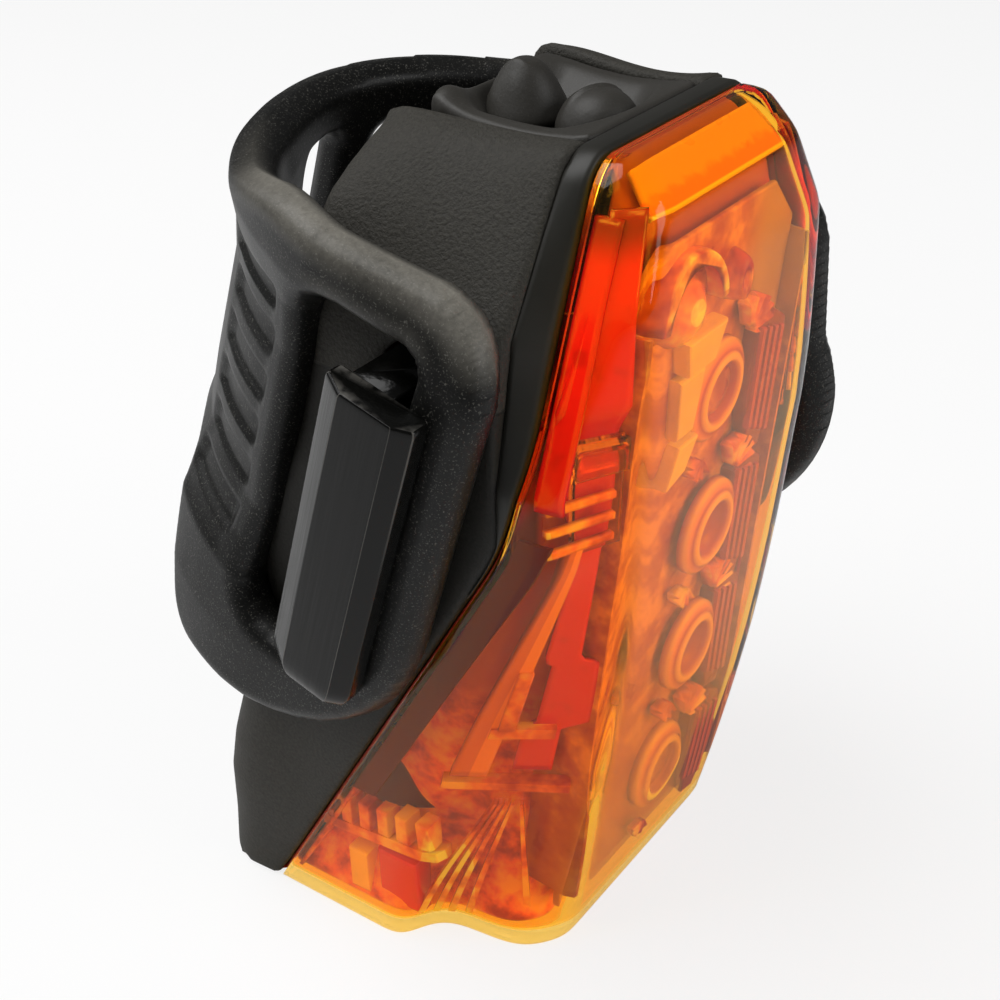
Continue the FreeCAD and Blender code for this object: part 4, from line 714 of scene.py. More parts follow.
def lens_corners(z, gap):
    """Corner tracks at heights z, walls moved in by gap: wing edge, hollow, swell, front edge."""
    side, wing, face, nose = side_half(z), wing_front(z), face_half(z), nose_front(z)
    along = unit(grid_of(face - side, wing - nose))
    angle = np.arctan2(-along[:, 0], -along[:, 1])
    edge = grid_of(side - gap, -wing + gap * np.tan(0.5 * angle))
    ridge = grid_of(face - gap * np.tan(0.5 * (np.pi / 2 - angle)), -nose + gap)
    line = ridge - edge
    inward = right_of(line) * np.maximum(0, 1 - z / 17)[:, None]
    hollow = edge + line * 0.26 + inward * 2.1
    swell = edge + line * 0.74 - inward * 1.3
    return [edge, hollow, swell, ridge]


def rounded_track(start, corners, cuts, end):
    """Outline from start to end past corners, each cut by a quadratic curve, as rows of points."""
    steps = 6
    stops = [start] + corners + [end]
    pieces = []
    last = start
    t = np.linspace(0, 1, steps)[None, :, None]
    s = np.linspace(0, 1, steps, endpoint=False)[None, :, None]
    for before, corner, after, cut in zip(stops, stops[1:], stops[2:], cuts):
        back, on = before - corner, after - corner
        back_length = np.linalg.norm(back, axis=1)[:, None] + 1e-9
        on_length = np.linalg.norm(on, axis=1)[:, None] + 1e-9
        first = corner + back * np.minimum(cut / back_length, 0.45)
        second = corner + on * np.minimum(cut / on_length, 0.45)
        pieces.append(last[:, None] + (first - last)[:, None] * s)
        curve = (1 - t) ** 2 * first[:, None] + 2 * t * (1 - t) * corner[:, None]
        pieces.append(curve + t**2 * second[:, None])
        last = second
    s = np.linspace(0, 1, steps + 1)[None, :, None]
    pieces.append(last[:, None] + (end - last)[:, None] * s[:, 1:])
    return np.concatenate(pieces, 1)


def evened(rows, count):
    """Each row on even steps of its length, its bends rounded by a bell curve BEND wide."""
    made = []
    for row in rows:
        run = np.concatenate([[0], np.cumsum(np.linalg.norm(np.diff(row, axis=0), axis=1))])
        even = np.linspace(0, run[-1], count)
        made.append(eased(looked_up(even, run, row), even[1], BEND))
    return np.stack(made)


def lens_grid(gap, edge_round, count=100, deeper=((0, 67), (0, 0))):
    """Rows of lens outlines from the base's back edge, up the walls, to the top's back edge.

    The walls lie in by gap, and by what `deeper` adds at each height. The lowest and the highest EDGE
    millimetres turn in by a quarter circle, scaled to edge_round.
    """
    step = 0.5
    fine = np.arange(0, LENS_TOP + step / 2, step)
    tracks = [eased(track, step, 0.6) for track in lens_corners(fine, gap + np.interp(fine, *deeper))]
    depth = np.array([0.0, 0.12, 0.35, EDGE])
    low = np.concatenate([depth[:-1], np.linspace(EDGE, LENS_TOP - EDGE, 118), LENS_TOP - depth[-2::-1]])
    inset = np.maximum(0, EDGE - np.minimum(low, LENS_TOP - low))
    inset = (EDGE - np.sqrt(np.maximum(0, EDGE**2 - inset**2))) * edge_round / EDGE
    level = gap + low * (LENS_TOP - 2 * gap) / LENS_TOP
    shrink = grid_of(-inset, inset * 0.8)
    corners = [looked_up(low, fine, track) + shrink for track in tracks]
    side = corners[0][:, 0]
    start = grid_of(side, np.maximum(seam_at(level), corners[0][:, 1] + 0.4))
    right = rounded_track(start, corners, [1.0, 2.2, 2.2, 1.0], grid_of(side * 0, corners[-1][:, 1]))
    right = evened(right, count)
    left = right[:, -2::-1] * np.array([-1, 1])
    walls = raised(np.concatenate([right, left], 1)[:, ::-1], level)
    share = np.linspace(1, 0, 14, endpoint=False)[:, None]

    def cap(row, back):
        """A flat end: the outline drawn back to its straight back edge."""
        rows = np.repeat(walls[row][None], len(share), 0)
        rows[:, :, 1] += (back - rows[:, :, 1]) * share
        return rows

    return np.concatenate([cap(0, start[0, 1]), walls, cap(-1, start[-1, 1])[::-1]])


def make_lens():
    points, faces = wall_between(lens_grid(0.0, EDGE), lens_grid(LENS_WALL, 0.3))
    return build("amber_cover", points, faces, LENS, "lens", replaces=("front_lens",))


# The case

def case_outline(low):
    """The right half of the lens frame's outline from a height up, over its corner, to the middle."""
    corner_x, middle = CORNER_MIDDLE
    turn = np.linspace(math.asin(0.4), math.pi / 2, 12)
    z = np.concatenate([np.arange(low, CORNER_FOOT, 0.5), middle + CORNER_ROUND * np.sin(turn)])
    x = side_half(z)
    x[-1] = corner_x
    return np.concatenate([grid_of(x, z), grid_of(np.linspace(corner_x, 0, 12)[1:], CASE_TOP)])


def frame_path(low):
    """The lens frame's outline in X and Z, from its left foot at a height to its right foot."""
    half = case_outline(low)
    return np.concatenate([half * [-1, 1], half[-2::-1]])


def make_rim():
    """Satin frame: its skin flares from the lens outline towards the housing's wider shoulders."""
    path = frame_path(37.5)
    z = path[:, 1]
    front = seam_at(z) + 0.4
    width = (np.maximum(front + 0.1, -14.75) - front)[:, None]
    flare = np.interp(z, [46, 52, 55.5, 62, 66], [0, 1.4, 2.4, 1.0, 0])[:, None]
    share = np.array([0, 0, 0.06, 0.2, 0.8, 0.95, 1, 1])[None]
    skin = np.array([0, 1, 1, 1, 1, 1, 1, 0])[None]
    edge = np.array([0, 0.3, 0.1, 0, 0, 0.06, 0.25, 0])[None]
    offsets = np.where(skin > 0, edge - flare * share * width / 2.2, 1.5)
    flat = path[:, None] + right_of(np.gradient(path, axis=0))[:, None] * offsets[..., None]
    points, faces = swept(grid_of(flat[..., 0], front[:, None] + width * share, flat[..., 1]))
    return build("satin_frame", points, faces, RIM, "rim", replaces=("lens_rim",))


def make_seal():
    """Gasket line: a rounded bead that follows the seam round the whole lens."""
    foot = 0.3
    level = np.linspace(SIDE, -SIDE, 40)[1:-1]
    path = np.concatenate([frame_path(foot), grid_of(level, foot)])
    inward = right_of(np.roll(path, -1, 0) - np.roll(path, 1, 0))
    angle = np.linspace(0, 2 * np.pi, 10, endpoint=False)[None]
    flat = path[:, None] + inward[:, None] * (0.95 + 0.4 * np.cos(angle))[..., None]
    depth = seam_at(path[:, 1])[:, None] + 0.2 + 0.2 * np.sin(angle)
    points, faces = swept(grid_of(flat[..., 0], depth, flat[..., 1]), closed_path=True)
    return build("lens_gasket", points, faces, SEAL, "seal", replaces=("lens_seal",))


def from_back(y, z):
    """How far a point lies in front of the case's leaning back."""
    return 16.2 - 0.2586 * z - y


def shoulders(points):
    """How much a point of the housing is smoothed: all on the shoulders and the upper back edge."""
    x, y, z = points.T
    high = climb(z, 44, 48) * climb(y, -14.2, -11.2)
    clear_back = climb(from_back(y, z), 2.2, 3.2)
    pocket = (np.abs(x) < 7.8) & (y < -0.8)
    return high * np.maximum(clear_back, climb(z, 57.5, 59)) * np.where(pocket, 0.05, 1.0)


HEEL_AT = [0, 5, 10, 15, 26, 36, 41, 47]
HEEL_OUT = [0.5, 1.0, 1.7, 1.8, 2.0, 2.3, 1.8, 0]
FLANK_AT = [0, 14, 20, 26, 32, 42]
FLANK_SHARE = [0.7, 0.6, 0.0, 0.0, 0.3, 0.3]


def crown(points):
    """Push the housing's upper back edge out, most at mid width, to make up for the smoothing."""
    x, y, z = points.T
    deep, aside = from_back(y, z), np.abs(x)
    near = softly(climb(deep, 9, 0) * climb(z, 52, 61)) * climb(deep, -1, 1)
    heel = np.interp(z, HEEL_AT, HEEL_OUT) * climb(deep, 7, 0) * climb(aside, 8, 16)
    flank = np.sign(x) * (near * 1.2 + heel * np.interp(z, FLANK_AT, FLANK_SHARE))
    return grid_of(flank, near * 2.2 + heel * 1.1, near * 1.6 * climb(aside, 5, 10))


# Strap and hooks

LOOP_RADIUS = 20.8
LOOP_CENTRE = 13
TURN = LOOP_RADIUS * math.pi / 2
STRAP_HALF = 1.8
PULL_ROUND = 15.7
SAG_AT = [19.5, 25, 30, 33, 36, 40, 50, 54, 57, 61]
SAG_OUT = [0.3, 0.2, -0.4, -1.45, -2.2, -2.2, -2.45, -1.9, -0.9, -0.3]


def strap_place(a, s, lift):
    """Points of the strap: a runs round the loop from the rear middle, s along it, lift off its mid line."""
    phi = np.clip(a, -TURN, TURN) / LOOP_RADIUS
    straight = np.maximum(0, np.abs(a) - TURN)
    sag = np.interp(s, SAG_AT, SAG_OUT) * softly(climb(a, -37, -25) * climb(a, 4, -10))
    brow = -1.5 * climb(s, 53, 60) ** 2 * climb(a, -30, -38)
    flare = 2.7 * climb(a, 41, 53) ** 1.5
    reach = LOOP_RADIUS + lift + sag + brow + flare
    return strap_frame(grid_of(reach * np.sin(phi), LOOP_CENTRE - straight + reach * np.cos(phi), s))


def strap_loops():
    """The strap's unrolled outline with its rounded pull end, and its four windows."""
    pull = np.radians(np.linspace(38, -88, 26))
    corners = [(-44.67, 19.1), (-22.0, 19.0), (-15.7, 33), (15.7, 33), (22.0, 19.6), (30, 19.7)]
    radii = [15.5, 5, 4, 4, 5, 20]
    corners += [(38.07 + PULL_ROUND * math.cos(p), 35.9 + PULL_ROUND * math.sin(p)) for p in pull[::-1]]
    radii += [0.5] * len(pull)
    corners += [(46.3, 58.2), (25.3, 59.2), (17.1, 57.4), (0, 56.5), (-17.1, 58.0), (-25.3, 61.6)]
    corners.append((-44.67, 61.3))
    radii += [7.5, 14, 10, 60, 10, 10, 6.5]
    windows = [(-39.17, -29.15, 27.6, 57.0, 1.6, 3.6), (29.15, 39.17, 27.6, 55.4, 3.6, 1.6),
               (-4.95, 2.61, 38.5, 52, 1.8, 1.8), (6.72, 15.52, 38.5, 52, 1.8, 1.8)]
    loops = [rounded_loop(corners, radii)]
    for a0, a1, s0, s1, r0, r1 in windows:
        loops.append(rounded_loop(box_outline(a0, a1, s0, s1), [r0, r1, r1, r0]))
    return loops


def corner_sets(grid):
    """The four corner values of every cell of a grid."""
    return np.stack([grid[:-1, :-1], grid[1:, :-1], grid[1:, 1:], grid[:-1, 1:]], -1)


def make_strap():
    """Rubber band as a plate on its unrolled outline, twice STRAP_HALF thick, with half-round edges.

    A cell of the grid is kept where its four corners lie inside the outline. The points on the rim are then
    drawn onto the outline. Grip ribs stand out on the left panel.
    """
    loops = strap_loops()
    step = 0.3
    cells = grid_of(np.arange(-45.1, 54.6, step)[:, None], np.arange(19.2, 62.0, step)[None, :])
    d = edge_distance(cells.reshape(-1, 2), loops).reshape(cells.shape[:2])
    keep = (corner_sets(d) > 0.02).all(-1)
    used = np.zeros(d.shape, int)
    for di, dj in ((0, 0), (1, 0), (1, 1), (0, 1)):
        used[di:di + keep.shape[0], dj:dj + keep.shape[1]] += keep
    rim, inner = (used > 0) & (used < 4), used == 4
    slope = unit(np.stack(np.gradient(d, step), -1))
    for _ in range(3):
        cells[rim] = cells[rim] - slope[rim] * edge_distance(cells[rim], loops)[:, None]
    deep = np.where(rim, 0.0, np.maximum(d, 0.0))
    chord = STRAP_HALF**2 - (STRAP_HALF - np.minimum(deep, STRAP_HALF)) ** 2
    thick = np.where(deep < STRAP_HALF, np.sqrt(np.maximum(0, chord)), STRAP_HALF)
    a, s = cells[..., 0], cells[..., 1]
    panel = climb(a, -26.5, -25.7) * climb(a, -17.6, -18.8) * climb(s, 30.5, 31) * climb(s, 54.5, 54)
    ribs = np.clip(np.sin((s - 30.5) * 2 * np.pi / 4.0) * 2.5, 0, 1)
    front = strap_place(a, s, thick + panel * (0.35 * ribs - 0.45))
    back = strap_place(a, s, -thick)
    # Painted highlight along the strap's upper edge, fading in from the rim; fainter on the back.
    dust = climb(s, 57.2, 59.8) * climb(deep, 2.4, 0)
    index = np.full(d.shape, -1)
    index[used > 0] = np.arange((used > 0).sum())
    other = np.where(rim, index, -1)
    other[inner] = (used > 0).sum() + np.arange(inner.sum())
    points = np.concatenate([front[used > 0], back[inner]])
    dust = np.concatenate([dust[used > 0], 0.3 * dust[inner]])
    return build("ladder_strap", points, [corner_sets(index)[keep][:, ::-1], corner_sets(other)[keep]], STRAP,
                 "strap_rubber", replaces=("mounting_strap",), stored={"dust": dust})


def make_hook(side, name, node):
    """Faceted bar with rounded corners and domed ends, and the neck behind it."""
    corners = [(22.8, 3.8), (24.45, 3.8), (25.2, 5.1), (25.2, 9.3), (24.0, 11.3), (22.8, 11.3)]
    loop = rounded_loop(corners, [0.3, 0.3, 0.3, 0.3, 0.35, 0.3], 6)
    end = np.sin(np.linspace(0, np.pi / 2, 7))
    rise = 1 - np.cos(np.linspace(0, np.pi / 2, 7))
    s = np.concatenate([28.4 + rise * 2.0, np.linspace(30.4, 54.1, 40)[1:-1], 54.6 - rise[::-1] * 0.5])
    grow = np.concatenate([0.5 + 0.5 * end, np.ones(38), 0.93 + 0.07 * end[::-1]])
    middle = np.array([22.9, 7.0])
    bar = middle + (loop[None] - middle) * grow[:, None, None] ** np.array([0.6, 1.0])
    neck = rounded_loop(box_outline(17.0, 23.0, 6.8, 10.3), [0.3] * 4, 5)
    tight = np.array([0.97, 1, 1, 0.97])[:, None, None]
    stem = np.array([20, 8.55]) + (neck[None] - [20, 8.55]) * tight
    parts = []
    for rings in (raised(bar, s), raised(stem, np.array([28.6, 28.9, 54.1, 54.4]))):
        rings = rings * [side, 1, 1]
        parts.append(swept(strap_frame(rings if side > 0 else rings[:, ::-1])))
    points, faces = together(*parts)
    # Painted highlight: the crest of each rounded corner is marked for light grey.
    crest = np.tile([0, 0, 1, 1, 0, 0], 6 * len(bar))
    edge_highlight = np.concatenate([crest, np.zeros(len(points) - len(crest))])
    return build(name, points, faces, HOOK, "hook", replaces=(node,), stored={"edge": edge_highlight})


# Top cover and buttons

COVER_HALF = (7.2, 6.55)
COVER_MIDDLE = -8.15
COVER_ROUND = 0.55
BOWL_FLOOR = 64.5


def cover_height(x, y):
    """Top of the rubber cover: a bowl about the buttons inside a lip that dips at the sides, ears behind."""
    beyond = np.maximum(0, np.maximum(-10.6 - y, y + 5.1))
    reach = np.where(y < -8, 3.5, 3.3)
    r = np.sqrt((x / 6.5) ** 2 + (beyond / reach) ** 2)
    dip = np.sin(np.pi * np.clip(climb(y, -14.7, -1.6) * 1.25, 0, 1))
    ear = np.exp(-((np.abs(x) - 5.6) / 1.9) ** 2 - ((y + 2.3) / 1.5) ** 2)
    lip = 66.75 - 0.45 * dip * climb(np.abs(x), 0, 6.5) ** 2 + np.where(x < 0, 1.0, 0.35) * ear
    return BOWL_FLOOR + (lip - BOWL_FLOOR) * softly(climb(r, 0.42, 0.97))


def make_cover():
    """Rubber cover: the height over a rounded rectangle, with a rolled rim and a flat underside."""
    u = np.linspace(-1, 1, 97)[:, None]
    v = np.linspace(-1, 1, 89)[None, :]
    draw_in = 1 - 0.05 * climb(np.abs(u), 0.8, 1) * climb(np.abs(v), 0.8, 1)
    across, along = COVER_HALF
    x = across * u * draw_in
    y = COVER_MIDDLE + along * v * draw_in
    edge = np.minimum(across - np.abs(across * u), along - np.abs(along * v))
    roll = np.maximum(0, COVER_ROUND - edge)
    top = cover_height(x, y) - (COVER_ROUND - np.sqrt(np.maximum(0, COVER_ROUND**2 - roll**2)))
    points, faces = wall_between(grid_of(x, y, top), grid_of(x, y, 63.6))
    return build("top_cover", points, faces, COVER, "cover_rubber", replaces=("button_cover",))


def make_button(name, node, body, y, profile, fold):
    """A round rubber button: a turned profile with a raised fold across it."""
    profile = np.asarray(profile, float)
    fine = looked_up(np.linspace(0, len(profile) - 1, 40), np.arange(len(profile)), profile)
    r, z = eased(fine, 1.0, 2.0).T
    r[0] = 0.02
    angle = np.linspace(0, 2 * np.pi, 64, endpoint=False)[None, :]
    px, py = r[:, None] * np.cos(angle), r[:, None] * np.sin(angle)
    top = z[:, None] + fold(px, py) * climb(r[:, None], 3, 2)
    points, faces = swept(grid_of(px, y + py, top))
    return build(name, points, faces, COVER, "cover_rubber", body, (node,))


make_lens()
make_rim()
make_seal()
softened("rear_housing", "case_shell", HOUSING, "housing", 0.42, 130, where=shoulders, swell=crown)
make_strap()
make_hook(-1, "hook_bar_left", "strap_hook_left")
make_hook(1, "hook_bar_right", "strap_hook_right")
make_cover()
make_button("round_button", "light_button", "light_button_body", -10.8,
            [(0, 67.45), (0.8, 67.38), (1.6, 67.1), (2.3, 66.5), (2.8, 65.6), (3.0, 64.9), (2.9, 64.4),
             (0.5, 64.4)],
            lambda x, y: 0.22 * np.exp(-((x * 0.5 + y - 0.5) / 0.22) ** 2))
make_button("peaked_button", "laser_button", "laser_button_body", -4.9,
            [(0, 68.75), (0.8, 68.65), (1.5, 68.1), (2.1, 67.2), (2.6, 66.2), (3.1, 65.2), (3.2, 64.5),
             (0.5, 64.4)],
            lambda x, y: 0.25 * np.exp(-((x + 0.9) / 0.35) ** 2 - ((y - 0.2) / 1.1) ** 2))
softened("saddle_pad", "post_pad", COVER, "cover_rubber", 0.3, 8)
softened("charge_cover", "socket_cover", COVER, "cover_rubber", 0.15, 6, body="charge_cover_body")


# Inside the lens

def pair_of(*parts):
    """Closed forms and their mirror images."""
    return together(*parts, *[(points * [-1, 1, 1], faces) for points, faces in parts])


PLATE_COLUMNS = 9


def facet_plate(z, low, high, depth, thick):
    """A plate behind the left side facet: from share low to high of its width, at heights z."""
    z = np.asarray(z, float)
    edge, _, _, ridge = lens_corners(z, depth)
    share = np.linspace(0, 1, PLATE_COLUMNS)[None, :]
    share = (np.asarray(low) + 0 * z)[:, None] * (1 - share) + (np.asarray(high) + 0 * z)[:, None] * share
    run = ridge - edge
    flat = edge[:, None] + run[:, None] * share[..., None]
    behind = flat + right_of(run)[:, None] * thick
    return wall_between(*[grid_of(-g[..., 0], g[..., 1], z[:, None]) for g in (flat, behind)])


def fan(x, z, radius, start, end, ribs):
    """A ribbed shell: a sector whose front ripples round its angle."""
    r = np.linspace(0.25, 1, 9)[:, None] * radius
    angle = np.radians(np.linspace(start, end, 14 * ribs))[None, :]
    wave = np.cos(np.linspace(0, 2 * np.pi * ribs, 14 * ribs))[None, :]
    front = grid_of(x + r * np.cos(angle), -6.0 - 0.3 * wave * r / radius, z + r * np.sin(angle))
    return wall_between(emitter_frame(front), emitter_frame(front * [1, 0, 1] + [0, -5.2, 0]))


def arc(x, z, across, up, start, end):
    """Points on an oval about (x, z), by angle in degrees."""
    a = np.radians(np.linspace(start, end, 20))
    return grid_of(x + across * np.cos(a), z + up * np.sin(a))


def make_tray():
    """Plate behind the pods with a thin wall at each side, and the liner that gives the lens its depth."""
    plate = block([(-10.6, 4), (10.6, 4), (10.6, 58), (7.0, 61.5), (-7.0, 61.5), (-10.6, 58)], -4.9, -4.4)
    walls = [block(box_outline(x - 0.15, x + 0.15, 6, 57), -6.4, -1.5, 0.05) for x in (-10.8, 10.8)]
    build("amber_tray", *together(plate, *walls), TRAY, replaces=("led_optic",), smooth=False)
    deeper = ((0, 8, 50, 60, 67), (0.4, 3.0, 3.0, 1.5, 0.9))
    liner = [lens_grid(gap, 0.3, 60, deeper) for gap in (1.4, 1.7)]
    build("amber_liner", *wall_between(*liner), WING)


PODS = ((1.3, 11.3, 0), (2.5, 23.8, -0.6), (2.5, 35.4, -0.6), (1.5, 47.6, 0))
RING_PROFILE = [(1.9, -4.9), (2.0, -5.6), (2.25, -6.0), (2.55, -6.12), (2.8, -6.0), (3.0, -5.75), (3.4, -5.7),
                (3.7, -5.5), (3.8, -4.9)]
CUP_PROFILE = [(0.05, -4.95), (1.0, -5.0), (1.3, -5.3), (1.9, -5.4), (1.95, -4.9), (0.05, -4.8)]


def make_pods():
    """Four emitter pods: a ring and a cup, ribbed shells about them, and a ribbed column at their right."""
    rings, cups, shells, columns, ribs = [], [], [], [], []
    for x, z, ahead in PODS:
        rings.append(turned(np.array(RING_PROFILE) + [0, ahead], (x, z), squeeze=1.08))
        cups.append(turned(CUP_PROFILE, (x, z)))
        shells.append(fan(x + 2.8, z + 3.6, 3.0, -15, 115, 6))
        shells.append(fan(x - 1.8, z - 4.6, 1.8, 180, 300, 4))
        low = z - 7.4
        columns.append(block([(5.4, z - 2.5), (6.8, low), (8.8, low - 0.6), (10.0, z - 4), (9.9, z + 3.0),
                              (8.0, z + 4.2), (5.6, z + 3.4)], -6.1, -4.8, 0.3))
        for k in range(4):
            foot, head = low + 2.3 - 0.5 * k, z + 3.5 - 0.3 * k
            rib = [(5.9 + k, foot + 0.1), (6.4 + k, foot), (6.2 + k, head), (5.7 + k, head + 0.1)]
            ribs.append(block(rib, -6.4, -5.9, 0.12))
    along = np.tile(np.repeat(np.linspace(0, 1, len(RING_PROFILE)), ROUND_STEPS), len(PODS))
    build("pod_rings", *together(*rings), RING, stored={"ring": along})
    build("pod_cups", *together(*cups), TRAY)
    build("pod_fans", *together(*shells), AMBER)
    build("pod_columns", *together(*columns), DEEP, smooth=False)
    build("column_ribs", *together(*ribs), PURPLE, smooth=False)


def make_brow():
    """The arch over the pods, and the bright window under it."""
    arch = np.concatenate([arc(-5.0, 55.5, 4.4, 5.2, 10, 170), arc(-5.0, 55.5, 3.6, 4.3, 170, 10)])
    dome = turned([(0.05, -6.4), (1.2, -6.2), (2.2, -5.6), (2.6, -4.8)], (-5.0, 56.2))
    loop = turned([(0.3, -5.6), (0.5, -6.4), (0.9, -6.4), (1.1, -5.6), (1.2, -4.8)], (1.6, 56.6), squeeze=1.6)
    build("brow_arch", *together(block(arch, -6.2, -4.8, 0.12), dome, loop), AMBER)
    panes = [([(-4.9, 51.6), (-1.2, 51.6), (-0.2, 54.4), (-5.6, 54.4)], -6.3, -4.8, 0.3),
             ([(-4.6, 46.2), (-2.4, 46.2), (-1.8, 51.2), (-5.2, 51.2)], -5.9, -4.8, 0.3),
             ([(-5.4, 42.5), (-2.9, 43.1), (-1.6, 45.6), (-4.2, 45.6)], -6.0, -4.8, 0.2)]
    build("bright_window", *together(*[block(*pane) for pane in panes]), YELLOW, smooth=False)


def make_guides():
    """Red light guides behind the side facets, with returns along the wings' upper walls."""
    rise = np.linspace(45.5, 63, 40)[:, None]
    run = np.linspace(-17.1, -19.0, 6)[None, :]
    flank = [grid_of(inset - side_half(rise), run, rise) for inset in (1.35, 1.7)]
    build("red_returns", *pair_of(wall_between(*flank)), GUIDE, "red_guide")
    z = np.concatenate([np.linspace(19, 23.4, 8), np.linspace(23.6, 30, 12), np.linspace(30.3, 63.4, 60)])
    bends = [19, 23.5, 24, 30, 30.4, 40, 45, 50, 64]
    low = np.interp(z, bends, [0.5, 0.5, 0.58, 0.58, 0.5, 0.5, 0.2, -0.15, -0.15])
    high = np.interp(z, bends, [0.78, 0.78, 1.0, 1.0, 0.82, 0.82, 0.95, 1.0, 1.0])
    guide = facet_plate(z, low, high, np.interp(z, [49.5, 51.5], [2.5, 1.5]), 0.5)
    build("red_guides", *pair_of(guide), GUIDE, "red_guide",
          replaces=("light_guide_left", "light_guide_right"))


def make_facet_parts():
    """Bands, clear boxes, diagonal light bars and ledges behind the side facets."""
    bands = [facet_plate([s, s + 0.2, s + 0.4, s + 0.5], 0.0, 0.85, 1.45, 0.5) for s in (42.0, 43.6, 45.2)]
    clip = facet_plate(np.linspace(24, 30, 5), 0.3, 0.42, 1.6, 0.8)
    build("clip_bands", *pair_of(*bands, clip), AMBER)
    box = np.linspace(41.2, 49.4, 8)
    boxes = [facet_plate(box, 0.3, 1.03, 2.0, 0.4), facet_plate(box[5:], 0.25, 1.0, 1.45, 0.4)]
    build("clear_boxes", *pair_of(*boxes), PRISM)
    z = np.linspace(18.5, 41.5, 30)
    low = np.interp(z, [18.5, 25, 34, 41.5], [0.08, 0.13, 0.22, 0.32])
    high = np.interp(z, [18.5, 25, 34, 41.5], [0.33, 0.37, 0.44, 0.5])
    across = np.tile(np.linspace(0, 1, PLATE_COLUMNS), 4 * len(z))
    build("light_bars", *pair_of(facet_plate(z, low, high, 2.0, 0.9)), BAR, "light_bar",
          replaces=("side_prism_left", "side_prism_right"), stored={"across": across})
    ledges = [facet_plate(np.linspace(23.0, 24.0, 4), 0.25, 0.72, 1.8, 1.0),
              facet_plate(np.linspace(17.2, 18.0, 4), 0.05, 0.9, 1.8, 1.2)]
    for foot, head in ((0.05, 0.43), (0.16, 0.46), (0.27, 0.5), (0.4, 0.54), (0.8, 0.6)):
        ledges.append(facet_plate(np.linspace(1.8, 15.5, 9), np.linspace(foot, head, 9),
                                  np.linspace(foot + 0.05, head + 0.02, 9), 1.9, 0.7))
    build("wing_ledges", *pair_of(*ledges), AMBER, smooth=False)


def make_wings():
    """Backings of the wings, and the dark bands and gold tabs on their side walls."""
    x = np.linspace(-17.2, -10.9, 12)[None, :]
    z = np.linspace(1.6, 47, 46)[:, None]
    y = np.maximum(seam_at(z) - 0.9, -15.5)
    build("wing_backings", *pair_of(wall_between(grid_of(x, y, z), grid_of(x, y + 0.4, z))), WING, "chassis")
    level = np.linspace(14, 43, 40)
    seam = seam_at(level)
    band = np.concatenate([grid_of(np.maximum(seam - 2.7, -19.4), level), grid_of(seam - 0.5, level)[::-1]])
    build("dark_bands", *pair_of(block(band, -17.42, -17.1, 0.05, side_frame)), DARK, "chassis", smooth=False)
    tab = block([(-5.2, 25.6), (-3.4, 24.9), (-2.9, 26.6), (-4.6, 27.4)], -17.48, -17.2, 0.08, side_frame)
    build("gold_tabs", *pair_of(tab), YELLOW, smooth=False)


def make_laser_parts():
    """Ribs, window and block about the laser in the foot of each wing."""
    parts = [block(box_outline(y, y + 1.1, 9.2 - 0.12 * y, 11.8 - 0.12 * y), -16.9, -15.0, 0.2, side_frame)
             for y in (-5.8, -3.9, -2.0, -0.1, 1.8, 3.7)]
    parts.append(block([(-6.4, 8.7), (5.4, 7.6), (5.4, 8.6), (-6.4, 9.8)], -16.8, -14.6, 0.15, side_frame))
    build("laser_ribs", *pair_of(*parts), AMBER, smooth=False)
    window = block([(0.6, 2.0), (2.6, 1.9), (2.6, 6.2), (0.6, 6.2)], -16.8, -14.4, 0.25, side_frame)
    build("laser_windows", *pair_of(window), YELLOW, smooth=False)
    holder = block(box_outline(-3.8, -0.2, 1.6, 7.2), -16.4, -14.2, 0.4, side_frame)
    build("laser_blocks", *pair_of(holder), GUIDE, smooth=False)


def make_brow_band():
    """A thin band behind the lens's upper bevel."""
    u = np.linspace(-1, 1, 40)[:, None]
    v = np.linspace(0, 1, 16)[None, :]
    under = grid_of(u * (8.4 - 0.9 * v), -19.95 + 2.2 * v, 62.65 + 2.3 * v)
    build("brow_band", *wall_between(under, under + [0, 0.25, -0.25]), BROW)


make_tray()
make_pods()
make_brow()
make_guides()
make_facet_parts()
make_wings()
make_laser_parts()
make_brow_band()


# The studio

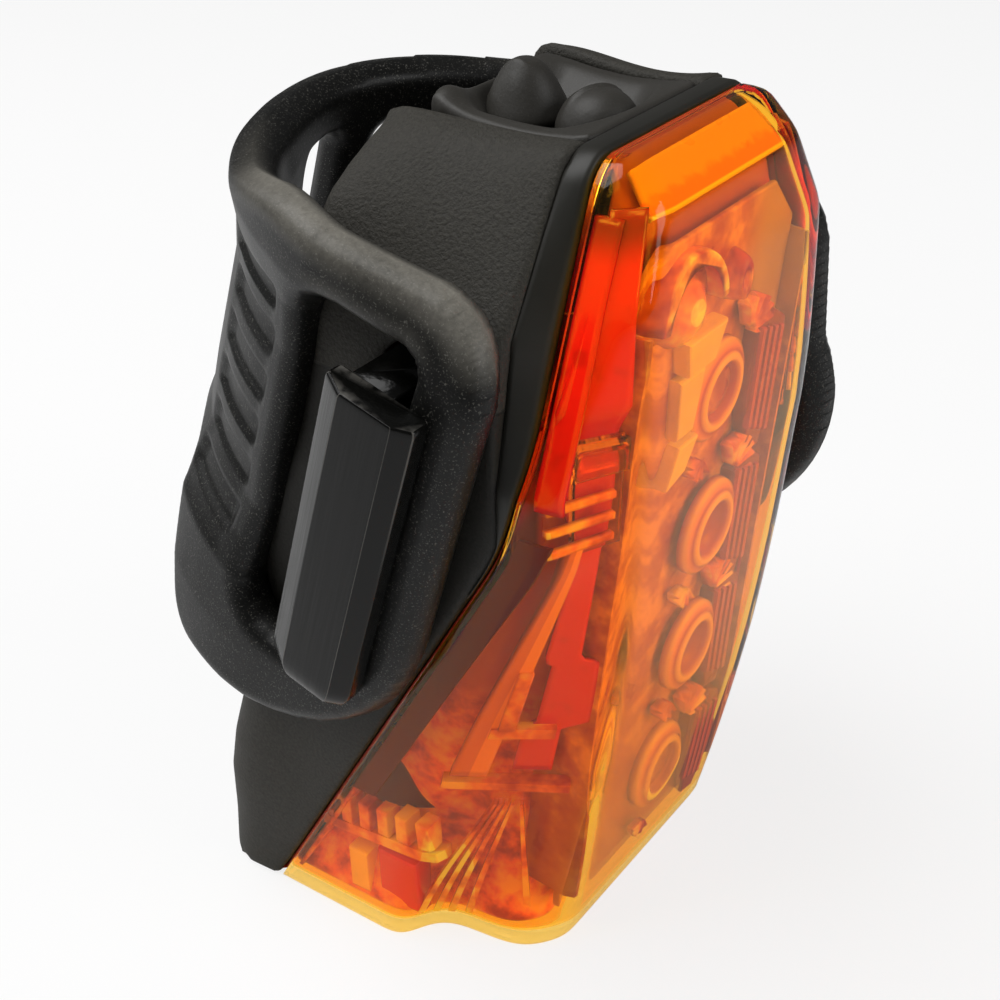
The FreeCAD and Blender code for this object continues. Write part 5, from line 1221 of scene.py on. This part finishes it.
CAMERA_PLACE = (-0.08906, -0.06682, 0.09869)
CAMERA_TURN = (-53.747, 30.993, -1.899)
WORLD_FILL = 0.12
FLOOR_GLOW = 0.8


def studio():
    """White floor, white surroundings for rays that see them, broad soft lamps, and the camera."""
    world = bpy.data.worlds.new("studio")
    bpy.context.scene.world = world
    around = Surroundings(world)
    around.feed(color=(1, 1, 1), strength=around.seen() * (1.0 - WORLD_FILL) + WORLD_FILL)

    bpy.ops.mesh.primitive_plane_add(size=3.0, location=(0, 0, 0))
    floor = bpy.context.object
    floor.name = "studio_floor"
    paper = Finish("pale_paper", base_color=(0.9, 0.9, 0.9), roughness=0.9)
    glow = paper.node("ShaderNodeEmission", {}, {"Color": (1, 1, 1), "Strength": 1.0})
    paper.swapped(paper.seen() * FLOOR_GLOW, glow)
    wear(floor, paper)

    def lamp(name, place, target, width, height, power):
        data = bpy.data.lights.new(name, "AREA")
        data.shape = "RECTANGLE"
        data.size, data.size_y, data.energy = width, height, power
        thing = bpy.data.objects.new(name, data)
        thing.location = place
        thing.rotation_euler = (Vector(target) - Vector(place)).to_track_quat("-Z", "Y").to_euler()
        bpy.context.scene.collection.objects.link(thing)

    lamp("top_softbox", (-0.12, 0.16, 0.5), (0, 0, 0.03), 0.4, 0.4, 2.5)
    lamp("rear_softbox", (-0.1, 0.5, 0.3), (0, 0, 0.04), 0.5, 0.25, 0.5)
    lamp("front_softbox", (0.12, -0.5, 0.25), (0, 0, 0.035), 0.3, 0.3, 1.1)

    data = bpy.data.cameras.new("photo_camera")
    data.sensor_width = 36.0
    data.lens = 57.27
    data.clip_start, data.clip_end = 0.01, 10.0
    camera = bpy.data.objects.new("photo_camera", data)
    bpy.context.scene.collection.objects.link(camera)
    around, over, roll = (math.radians(v) for v in CAMERA_TURN)
    turn = Matrix.Rotation(around, 4, "Z") @ Matrix.Rotation(math.pi / 2 - over, 4, "X")
    camera.matrix_world = Matrix.Translation(CAMERA_PLACE) @ turn @ Matrix.Rotation(roll, 4, "Z")
    bpy.context.scene.camera = camera


studio()
bpy.context.scene.view_settings.view_transform = "Standard"
bpy.context.view_layer.update()
